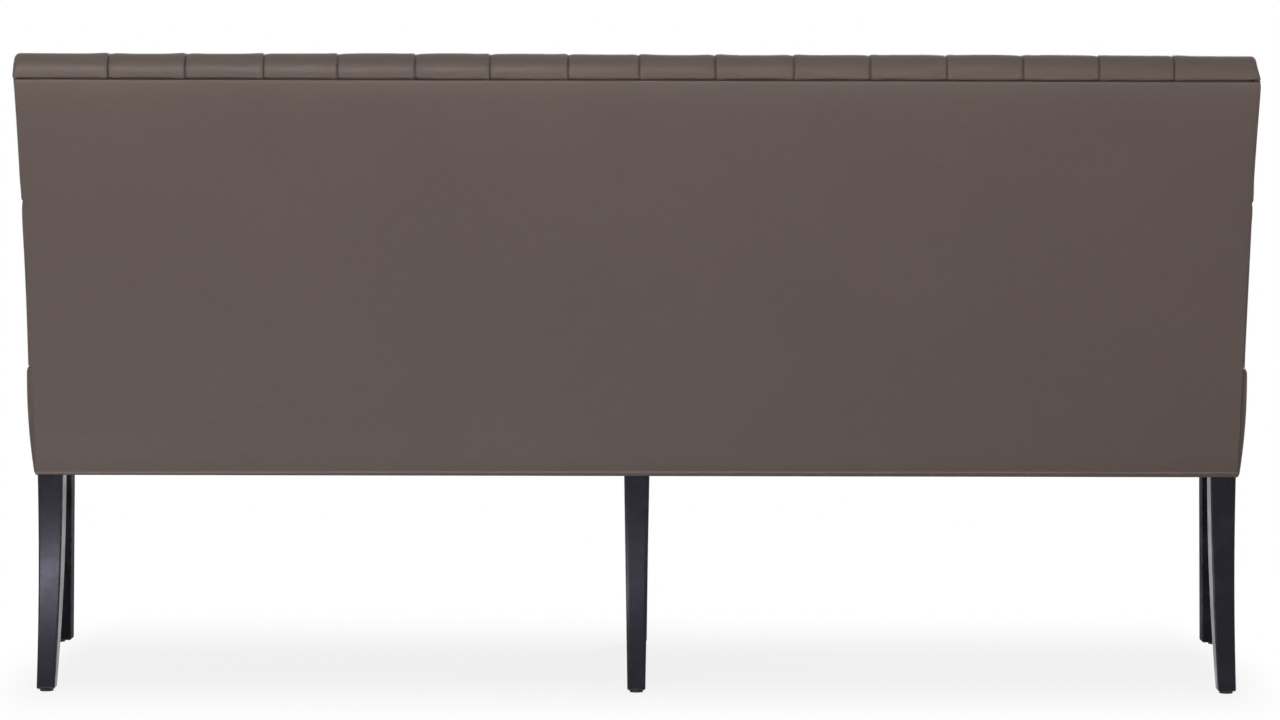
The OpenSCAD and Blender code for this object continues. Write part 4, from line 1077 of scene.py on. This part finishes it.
def coordinates(vertices, kind):
    """The places or normals of a mesh's points, one row to a point."""
    values = np.empty(len(vertices) * 3)
    vertices.foreach_get(kind, values)
    return values.reshape(-1, 3)


def soften(piece, cap):
    """Lets a cover swell as cloth under the pressure of its filling. No point moves further than
    its cap in millimetres, and those with hardly any cap are held."""
    held = piece.vertex_groups.new(name="held")
    held.add(np.flatnonzero(cap < 0.3).tolist(), 1.0, "REPLACE")
    mesh = piece.data
    before, outward = coordinates(mesh.vertices, "co"), coordinates(mesh.vertices, "normal")
    cloth = piece.modifiers.new("swelling", "CLOTH")
    for setting, value in CLOTH.items():
        setattr(cloth.settings, setting, value)
    cloth.settings.effector_weights.gravity = 0
    cloth.point_cache.frame_start = 1
    cloth.point_cache.frame_end = SWELL_FRAMES
    scene = bpy.context.scene
    for number in range(1, SWELL_FRAMES + 1):
        scene.frame_set(number)
    swollen = piece.evaluated_get(bpy.context.evaluated_depsgraph_get()).to_mesh()
    move = coordinates(swollen.vertices, "co") - before
    piece.modifiers.remove(cloth)
    # Where its tension draws the cover in over an edge, the filling holds it out
    out_by = (move * outward).sum(axis=1)
    move -= np.minimum(out_by + INWARD_CAP * MM, 0)[:, None] * outward
    # The swelling eases off as it nears the cap
    length = np.linalg.norm(move, axis=1)
    eased = cap * MM * np.tanh(length / np.maximum(cap * MM, 1e-9))
    move *= (eased / np.maximum(length, 1e-9))[:, None]
    mesh.vertices.foreach_set("co", (before + move).reshape(-1))
    mesh.update()
    scene.frame_set(1)


# The cover's ears run on beside the posts: how far along they are, how much they stop short of
# the posts' rear faces, and how far they turn in there
EARS = np.array([0.0001, 0.25, 0.5, 0.75, 1.0, 1.0, 1.0])
EARS_SHORT = np.array([0.0, 0.75, 1.5, 2.25, 3.0, 0.9, 0.0])
EARS_IN = np.array([0.0, 0.0, 0.0, 0.0, 0.0, 0.9, 3.0])


def seat_cover():
    """The seat's leather: a sewn form that swells with its filling, open below and behind."""
    drops = DROP_ROWS + [turn[0] for turn in HEM_TURN]
    turns = [0.0] * len(DROP_ROWS) + [turn[1] for turn in HEM_TURN]
    start_crown = SEAT_CROWN - SWELL_RISE
    patches = box_patches(drops, turns, crown=start_crown)
    drop, turned = np.array(drops)[:, None], np.array(turns)[:, None]
    band = np.array(CORNER_STEPS + [SIDE_BAND])
    last_row = FRONT_ROWS[-1]
    for side in (-1.0, 1.0):
        wall = seat_points(side, 0.0, last_row, drop, turned + EARS_IN, EARS, EARS_SHORT,
                           crown=start_crown)
        lap = wall[:, -1:].copy()
        lap[..., 0] = side * RETURN_X
        patches.append(np.concatenate([wall, lap], 1))
        top = seat_points(side, band[None, :], last_row, 0.0, 0.0, EARS[:5, None], 0.0,
                          crown=start_crown)
        # Beside the posts the top is only as wide as the room between them and the side
        limit = HALF_REAR + 2 * SOFT_GAP
        top[..., 0] = side * np.maximum(np.abs(top[..., 0]), limit)
        patches.append(top)
    points, faces = gather_patches(patches)
    piece = make_piece("seat_cover_leather", points, faces, LEATHER, "leather")
    co = coordinates(piece.data.vertices, "co") / MM - [0, REAR_LINE, 0]
    from_side = seat_side_x(co[:, 1], co[:, 2]) - np.abs(co[:, 0])
    from_front = co[:, 1] - (HEM_Y + (WIDEST_Y - HEM_Y) * bulge_share(co[:, 2]))
    # Painted shade in the groove of each front corner's sewn fold
    fold = (np.exp(-((from_side - CORNER_FOLD) / 1.7) ** 2) * smooth(9, 4, from_front)
            * smooth(4, 20, SEAT_EDGE_Z - co[:, 2]))
    # Painted shade where the back stands on it, and in the joint beside the posts
    under = (smooth(PAD_FRONT_Y - 2, PAD_FRONT_Y + 3, co[:, 1])
             * smooth(2.5, 0.5, SEAT_EDGE_Z - co[:, 2]))
    layer = piece.data.attributes.new("fold", "FLOAT", "POINT")
    layer.data.foreach_set("value", np.maximum(fold, 0.8 * under).astype(np.float32))
    high = smooth(HEM_Z + 4, HEM_Z + 60, co[:, 2])
    fore = smooth(PAD_FRONT_Y - 10, PAD_FRONT_Y - 70, co[:, 1])
    inner = smooth(0, 40, from_side)
    soften(piece, np.minimum(high, fore) * (EDGE_CAP + (TOP_CAP - EDGE_CAP) * inner))
    skin = piece.modifiers.new("leather_thickness", "SOLIDIFY")
    skin.thickness = 1.8 * MM
    skin.offset = -1.0
    finer = piece.modifiers.new("finer", "SUBSURF")
    finer.levels = finer.render_levels = 1
    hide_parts("seat_cover")


seat_cover()

CANVAS_TOP_Z = RAIL_TOP + WEB_T + CANVAS_T


def seat_foam():
    """Block of foam under the seat cover, rounded at its edges and a little crowned."""
    drops = [d for d in DROP_ROWS if SEAT_EDGE_Z - COVER_T - d > CANVAS_TOP_Z + 4]
    drops.append(SEAT_EDGE_Z - COVER_T - SOFT_GAP - CANVAS_TOP_Z)
    patches = box_patches(drops, [0.0] * len(drops), inset=COVER_T + SOFT_GAP, crown=FOAM_CROWN)
    points, faces = gather_patches(patches)
    # Its flat bottom and rear are closed where the patches end
    piece = make_piece("seat_foam_block", points, faces, FOAM, "foam", finish=close_holes)
    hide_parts("seat_foam")


seat_foam()

# Foam of the back: how far its ends, its lower and its upper front edges are rounded
FOAM_END_R, FOAM_LOW_R, FOAM_HIGH_R = 8.0, 26.0, 6.0
FOAM_LOW_EASE, FOAM_HIGH_EASE = 12.0, 3.0
FOAM_STEPS = 26


def back_foam():
    """Foam of the back: thick at the seat and thin at the top rail, with its edges rounded."""
    top_a = float(RAIL_TOP_A)
    ring_size = 2 * FOAM_STEPS
    rings = []
    xs = [-HALF_REAR + d for d in (0, 1.5, 4, 8, 14)]
    xs += list(np.linspace(-HALF_REAR + 24, HALF_REAR - 24, 61)) + [-x for x in xs[::-1]]
    for x in xs:
        short_by = max(0.0, FOAM_END_R - (HALF_REAR - abs(x)))
        drop = FOAM_END_R - math.sqrt(FOAM_END_R ** 2 - short_by ** 2)
        a = np.linspace(PAD_LOW_A, top_a, FOAM_STEPS)
        low = 1 - np.minimum(1, (a - PAD_LOW_A) * LEAN_R / FOAM_LOW_R)
        high = 1 - np.minimum(1, (top_a - a) * LEAN_R / FOAM_HIGH_R)
        eased = drop + FOAM_LOW_EASE * low ** 2 + FOAM_HIGH_EASE * high ** 2
        front = lean_point(foam_rho(a) - eased, a)
        behind_a = np.linspace(top_a, lean_angle(FOAM_RHO, PAD_LOW_Z), FOAM_STEPS)
        rear = lean_point(np.full(FOAM_STEPS, FOAM_RHO), behind_a)
        ring = np.concatenate([front, rear])
        rings.append(np.concatenate([np.full((ring_size, 1), x), ring], 1))
    points = np.concatenate(rings)
    faces = grid_faces(len(rings), ring_size, closed=True)
    faces += [list(range(ring_size)), [len(points) - 1 - i for i in range(ring_size)]]
    piece = make_piece("back_foam_sheet", points, faces, FOAM, "foam")
    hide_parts("back_foam")


back_foam()


def thin_form(middle, out, thick):
    """Points and faces of a thin closed form with rounded edges about a sheet of points."""
    rows, columns = middle.shape[:2]
    away = np.minimum.reduce([np.linalg.norm(middle - border, axis=-1) for border in
                              (middle[:1], middle[-1:], middle[:, :1], middle[:, -1:])])
    half = thick / 2
    drop = half - np.sqrt(np.maximum(half ** 2 - np.maximum(0, half - away) ** 2, 0))
    over, under = [middle + face * out * (half - drop)[..., None] for face in (1, -1)]
    faces = grid_faces(rows, columns) + [f[::-1] for f in grid_faces(rows, columns, rows * columns)]
    return np.concatenate([over.reshape(-1, 3), under.reshape(-1, 3)]), faces


def with_edges(low, high, step, thick):
    """Values from low to high with some close to both ends, for a thin form's rounded edges."""
    near = [thick * share for share in (0.0, 0.05, 0.18, 0.35, 0.6)]
    count = max(2, round((high - low - 4 * thick) / step))
    return np.array([low + n for n in near]
                    + list(np.linspace(low + 2 * thick, high - 2 * thick, count))
                    + [high - n for n in near[::-1]])


def lean_sheet(xs, angles, rho):
    """A sheet of points along the lean, with its outward direction to the front."""
    x, a = np.meshgrid(xs, angles)
    middle = np.concatenate([x[..., None], lean_point(rho + 0 * a, a)], -1)
    out = np.stack([0 * a, -np.cos(a), np.sin(a)], -1)
    return middle, out


# Webbing under the seat and up the back
WEB_W = 50.0
WEB_GAPS = 17
RAIL_T = 28.0
WEB_SAG, CANVAS_RIPPLE, CAMBRIC_SAG = 2.2, 0.35, 2.0
LOW_RAIL_A = lean_angle(LEAN_R, SEAT_EDGE_Z + 19.0)
INNER_X = LEG_X - LEG_W / 2
STRAP_X = [(2 * i / WEB_GAPS - 1) * (INNER_X - WEB_W) for i in range(WEB_GAPS + 1)]
UP = np.array([0.0, 0.0, 1.0])


def straps(name, node, sheet_of_strap):
    """A set of straps as one piece, each a thin form about its own sheet of points."""
    points, faces = [], []
    for x in STRAP_X:
        p, f = thin_form(*sheet_of_strap(x), WEB_T)
        faces += [[i + len(points) for i in face] for face in f]
        points += p.tolist()
    piece = make_piece(name, points, faces, STRAP, "webbing")
    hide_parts(node)


def seat_strap(x):
    """A strap from the front rail to the rear rail, drawn down a little between them."""
    xs = with_edges(x - WEB_W / 2, x + WEB_W / 2, 8.0, WEB_T)
    ys = with_edges(FRONT_Y, -LEG_D, 12.0, WEB_T)
    gx, gy = np.meshgrid(xs, ys)
    # It is free from the front rail to a little before the rear rail
    free = np.clip((gy - FRONT_Y - RAIL_T) / (FRAME_D - LEG_D - RAIL_T - 12), 0, 1)
    sag = WEB_SAG * np.sin(free * math.pi)
    return np.stack([gx, gy, RAIL_TOP + WEB_T / 2 - sag], -1), UP


def back_strap(x):
    """A strap up the front of the back's rails."""
    xs = with_edges(x - WEB_W / 2, x + WEB_W / 2, 8.0, WEB_T)
    length = (RAIL_TOP_A - LOW_RAIL_A) * POST_RHO
    angles = LOW_RAIL_A + with_edges(0, length, 12.0, WEB_T) / POST_RHO
    return lean_sheet(xs, angles, POST_RHO + WEB_T / 2)


straps("seat_webbing_straps", "seat_webbing", seat_strap)
straps("back_webbing_straps", "back_webbing", back_strap)


def seat_hessian():
    """Canvas over the seat's webbing, rippled a little between the straps."""
    ys = with_edges(FRONT_Y, -LEG_D - SOFT_GAP, 14.0, CANVAS_T)
    share = with_edges(-HALF_REAR, HALF_REAR, 16.0, CANVAS_T) / HALF_REAR
    gs, gy = np.meshgrid(share, ys)
    ripple = CANVAS_RIPPLE * (np.sin(gs * 90) * np.sin(gy / 31) - 1)
    z = RAIL_TOP + WEB_T + CANVAS_T / 2 + ripple
    middle = np.stack([gs * (frame_half(gy) - 1), gy, z], -1)
    piece = make_piece("seat_hessian", *thin_form(middle, UP, CANVAS_T), HESSIAN, "canvas")
    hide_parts("seat_canvas")


def back_hessian():
    """Canvas over the back's webbing."""
    xs = with_edges(-HALF_REAR, HALF_REAR, 16.0, CANVAS_T)
    length = (RAIL_TOP_A - LOW_RAIL_A) * CANVAS_RHO
    angles = LOW_RAIL_A + with_edges(0, length, 14.0, CANVAS_T) / CANVAS_RHO
    middle, out = lean_sheet(xs, angles, CANVAS_RHO + CANVAS_T / 2)
    piece = make_piece("back_hessian", *thin_form(middle, out, CANVAS_T), HESSIAN, "canvas")
    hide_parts("back_canvas")


seat_hessian()
back_hessian()


def dust_cloth():
    """Black cambric tacked under the rails and cut out round the legs, sagging a little."""
    half_leg = LEG_W / 2 + SOFT_GAP
    # The corner legs' inner edges, at the rear and at the front
    rear_inner = INNER_X - SOFT_GAP
    front_inner = FRONT_LEG_X - FRONT_LEG_W / 2 - SOFT_GAP
    y_rear, y_front = -LEG_D - SOFT_GAP, FRONT_Y + FRONT_LEG_W + SOFT_GAP
    corner, centre = rear_inner / HALF_REAR, half_leg / HALF_REAR
    lines = sorted({-1.0, 1.0} | {side * share for side in (-1, 1)
                                  for share in (corner, centre, 0.25, 0.5, 0.75)})
    shares = np.unique(np.concatenate([np.linspace(a, b, max(2, round((b - a) * 40) + 1))
                                       for a, b in zip(lines, lines[1:])]).round(6))
    ys = [FRONT_Y + SOFT_GAP] + list(np.linspace(y_front, y_rear, 24)) + [-SOFT_GAP]
    points, faces = [], []
    for y in ys:
        for share in shares:
            x = share * frame_half(y)
            if abs(abs(share) - corner) < 1e-5:
                forward = float(smooth(y_rear, y_front, y))
                x = math.copysign(rear_inner + (front_inner - rear_inner) * forward, share)
            sag = CAMBRIC_SAG * math.sin(math.pi * (y - ys[0]) / (ys[-1] - ys[0])) * (1 - share ** 4)
            points.append((x, y, HEM_Z + 1.5 - sag))
    columns = len(shares)
    for f in grid_faces(len(ys), columns):
        row, first = divmod(f[0], columns)
        middle = abs(shares[first] + shares[first + 1]) / 2
        at_leg = middle > corner or middle < centre
        if not (at_leg and row in (0, len(ys) - 2)):
            faces.append(f)
    piece = make_piece("dust_cambric", points, faces, CAMBRIC, "cambric")
    body = piece.modifiers.new("cambric_thickness", "SOLIDIFY")
    body.thickness = 0.8 * MM
    body.offset = 0.0
    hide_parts("dust_cover")


dust_cloth()

# Outside back: one leather panel over a board, turned over at the top under the roll. Its hem is
# folded double, and the fold runs a little higher on the right than on the left
BOARD_T = 3.0
PANEL_T = 2.5
PANEL_TOP_Z = 905.5
PANEL_RHO = LEAN_R - BOARD_T - PANEL_T / 2
FOLD_Z = 324.0
FOLD_T = 0.9
FOLD_RISE_SHARES, FOLD_RISES = (-1, 0, 0.6, 1), (1.0, 0.0, -1.8, -3.3)
# The panel is a little wider than the frame at its hem and narrower than the padded back above
HEM_OVER, WAIST_SHORT, SEAM_SHORT = 2.0, 4.5, 2.5
# Its leather stands a little clear of the board, and turns in over the tacking strip at its top
CLEAR, TURN_IN, TURN_H = 0.3, 1.5, 16.0
# Faint pulls below the seam, above the hem and along the sides: their depth and how far they reach
SEAM_PULL, HEM_PULL, SIDE_PULL, PULL_REACH = 0.25, 0.3, 0.35, 60.0


def panel_half(z):
    """Half the width of the outside back at a height."""
    return np.interp(z, [HEM_Z, SEAT_EDGE_Z, SEAM_Z],
                     [HALF_REAR + HEM_OVER, pad_side_x(SEAT_EDGE_Z) - WAIST_SHORT,
                      pad_side_x(SEAM_Z) - SEAM_SHORT])


def outside_back():
    """The one panel that the photograph shows. It is flat but for faint pulls along its edges."""
    heights = np.sort(np.concatenate([with_edges(HEM_Z, PANEL_TOP_Z, 9.0, PANEL_T),
                                      FOLD_Z + np.array([-3.0, -1.6, -0.5, 0.5, 1.6, 3.0])]))
    share = with_edges(-HALF_REAR, HALF_REAR, 12.0, PANEL_T) / HALF_REAR
    gs, level = np.meshgrid(share, heights)
    gz = level + (np.interp(gs, FOLD_RISE_SHARES, FOLD_RISES)
                  * np.clip(1 - np.abs(level - FOLD_Z) / (FOLD_Z - HEM_Z), 0, 1))
    x = gs * panel_half(gz)
    a = lean_angle(PANEL_RHO, gz)
    pull = (SEAM_PULL * np.sin(x / 47 + 1.1 * np.sin(x / 173))
            * smooth(SEAM_Z - 10 - PULL_REACH, SEAM_Z - 10, gz)
            + HEM_PULL * np.sin(x / 61 + 0.7) * smooth(HEM_Z + 10 + PULL_REACH, HEM_Z + 6, gz)
            + SIDE_PULL * np.sin(gz / 53) * smooth(HALF_REAR - PULL_REACH, HALF_REAR, np.abs(x)))
    doubled = FOLD_T * smooth(FOLD_Z + 1.2, FOLD_Z - 1.2, level)
    turn = TURN_IN * np.clip(1 - (PANEL_TOP_Z - gz) / TURN_H, 0, 1) ** 2
    yz = lean_point(PANEL_RHO - 0.4 - pull * 0.6 + turn - doubled, a)
    middle = np.concatenate([x[..., None], yz], -1)
    out = np.stack([0 * a, np.cos(a), -np.sin(a)], -1)
    points, faces = thin_form(middle, out, PANEL_T - CLEAR)
    # Painted highlight on the hem's step and along the top edge, with a painted sheen fading down from
    # the top; painted shade darkening down to the hem's fold and on the doubled strip below it
    crest = (np.exp(-((level - FOLD_Z) / 1.0) ** 2) + 0.5 * np.exp((gz - PANEL_TOP_Z) / 1.2)
             + 0.14 * np.exp((gz - PANEL_TOP_Z) / 12) + 0.08 * np.exp((gz - PANEL_TOP_Z) / 55))
    fold = (0.13 * smooth(FOLD_Z + 24, FOLD_Z, level) + 0.12 * smooth(FOLD_Z, FOLD_Z - 1, level))
    marks = {"crest": np.tile(crest.reshape(-1), 2), "fold": np.tile(fold.reshape(-1), 2)}
    piece = make_piece("outside_back_leather", points, faces, LEATHER, "leather", marks)
    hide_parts("outside_back")


outside_back()

# Pieces of the frame that keep their CAD form
for node_names, material in (
        (("front_rail_left", "front_rail_right", "rear_rail_left", "rear_rail_right", "top_rail",
          "low_back_rail_left", "low_back_rail_right"), RAIL_WOOD),
        (("side_rail_left", "side_rail_right", "cross_rail_left", "cross_rail_centre",
          "cross_rail_right"), SIDE_RAIL_WOOD),
        (("back_upright_left", "back_upright_right"), POST_WOOD),
        (("corner_blocks",), BLOCK_WOOD), (("frame_dowels",), DOWEL_WOOD),
        (("block_screws",), SCREW_STEEL), (("glides",), GLIDE_STEEL),
        (("outside_back_liner",), BOARD), (("tack_strip",), CARD)):
    for name in node_names:
        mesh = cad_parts[name].data
        mesh.materials.clear()
        mesh.materials.append(material)

# Floor, light and camera, in metres
FLOOR_REACH = 40.0
# Half the size of the floor's shadowed patch, how far it lies to the front of the frame's middle
# and over what distance it fades
SHADOW_HALF, SHADOW_SHIFT, SHADOW_FADE = (0.86, 0.06, 0.0), (0.0, 0.03, 0.0), (0.14, 0.66, 1.0)
floor_mesh = bpy.data.meshes.new("studio_floor")
floor_mesh.from_pydata([(x * FLOOR_REACH, y * FLOOR_REACH, 0.0)
                        for x, y in ((-1, -1), (1, -1), (1, 1), (-1, 1))], [], [(0, 1, 2, 3)])
floor = bpy.data.objects.new("studio_floor", floor_mesh)
bpy.context.scene.collection.objects.link(floor)


def seen_directly(shaded):
    """1 for what the camera sees straight, in a mirror or through glass, and 0 for light."""
    straight, mirrored, through = [add(shaded, "LightPath", out=f"Is {kind} Ray")
                                   for kind in ("Camera", "Glossy", "Transmission")]
    either = add(shaded, "Math", {0: straight, 1: mirrored}, operation="ADD")
    return add(shaded, "Math", {0: either, 1: through}, operation="ADD", use_clamp=True)


def studio_floor():
    """A white floor. In a patch round the bench its glow is lowered, so that the bench's real shadow
    shows there; the patch's fading edges are a painted falloff of that shadow, and further out it is as
    white as the background."""
    made, outside = new_material("white_studio_floor")
    diffuse = add(made, "BsdfDiffuse", {"Color": "#dedede"})
    glow = add(made, "Emission", {"Color": "#ffffff", "Strength": 1.0})
    for operation, value in (("ADD", SHADOW_SHIFT), ("ABSOLUTE", (0.0, 0.0, 0.0)),
                             ("SUBTRACT", SHADOW_HALF), ("MAXIMUM", (0.0, 0.0, 0.0)),
                             ("DIVIDE", SHADOW_FADE)):
        outside = add(made, "VectorMath", {0: outside, 1: value}, operation=operation)
    distance = add(made, "VectorMath", {0: outside}, "Value", operation="LENGTH")
    # Lowered glow in the patch: a painted edge to where the real shadow shows
    glow_level = add(made, "MapRange", {
        "Value": distance, "From Min": 0.0, "From Max": 1.0, "To Min": 0.82, "To Max": 1.0},
        interpolation_type="SMOOTHSTEP")
    glow_share = add(made, "Math", {0: seen_directly(made), 1: glow_level}, operation="MULTIPLY")
    blended = add(made, "MixShader", {0: glow_share, 1: diffuse, 2: glow})
    add(made, "OutputMaterial", {"Surface": blended})
    return made


floor_mesh.materials.append(studio_floor())

world = bpy.data.worlds.new("white_studio")
bpy.context.scene.world = world
world.use_nodes = True
world.node_tree.nodes.clear()
light_level = add(world, "Math", {0: seen_directly(world), 1: 0.7, 2: 0.3}, operation="MULTIPLY_ADD")
surround = add(world, "Background", {"Color": "#ffffff", "Strength": light_level})
add(world, "OutputWorld", {"Surface": surround})


def soft_box(name, place, target, size, power, spread=180):
    """A lit panel at a place, turned to a target. Its size is in metres and its power in watts."""
    lamp = bpy.data.lights.new(name, "AREA")
    lamp.shape = "RECTANGLE"
    lamp.size, lamp.size_y = size
    lamp.energy = power
    lamp.spread = math.radians(spread)
    box = bpy.data.objects.new(name, lamp)
    box.location = place
    box.rotation_euler = (Vector(target) - Vector(place)).to_track_quat("-Z", "Y").to_euler()
    bpy.context.scene.collection.objects.link(box)


soft_box("key_box", (1.5, 5.0, 1.45), (0.0, 0.2, 0.6), (2.4, 0.7), 82.0)
soft_box("overhead_box", (0.3, 0.4, 3.4), (0, 0.0, 0.4), (3.6, 2.6), 6.0)
soft_box("front_box", (-1.4, -4.2, 2.4), (0, 0, 0.5), (3.2, 2.0), 110.0)
# Lights the floor behind the bench, which throws the light back up on to its leaning panel
soft_box("floor_wash", (0.45, 2.3, 2.2), (0.45, 2.3, 0), (3.0, 1.0), 88.0, spread=50)

# The camera looks at the bench straight from behind, level with its top and a little downwards
CAMERA_PLACE = (-0.0037, 6.2225, 0.8423)
CAMERA_DOWN, CAMERA_ROLL = 3.347, -0.12
camera_data = bpy.data.cameras.new("photograph_view")
camera_data.lens = 113.26
camera_data.sensor_width = 36.0
camera_data.clip_end = 100.0
camera = bpy.data.objects.new("photograph_view", camera_data)
camera.location = CAMERA_PLACE
camera.rotation_euler = (math.radians(90 - CAMERA_DOWN), math.radians(CAMERA_ROLL), math.pi)
bpy.context.scene.collection.objects.link(camera)
bpy.context.scene.camera = camera
bpy.context.scene.view_settings.view_transform = "Standard"
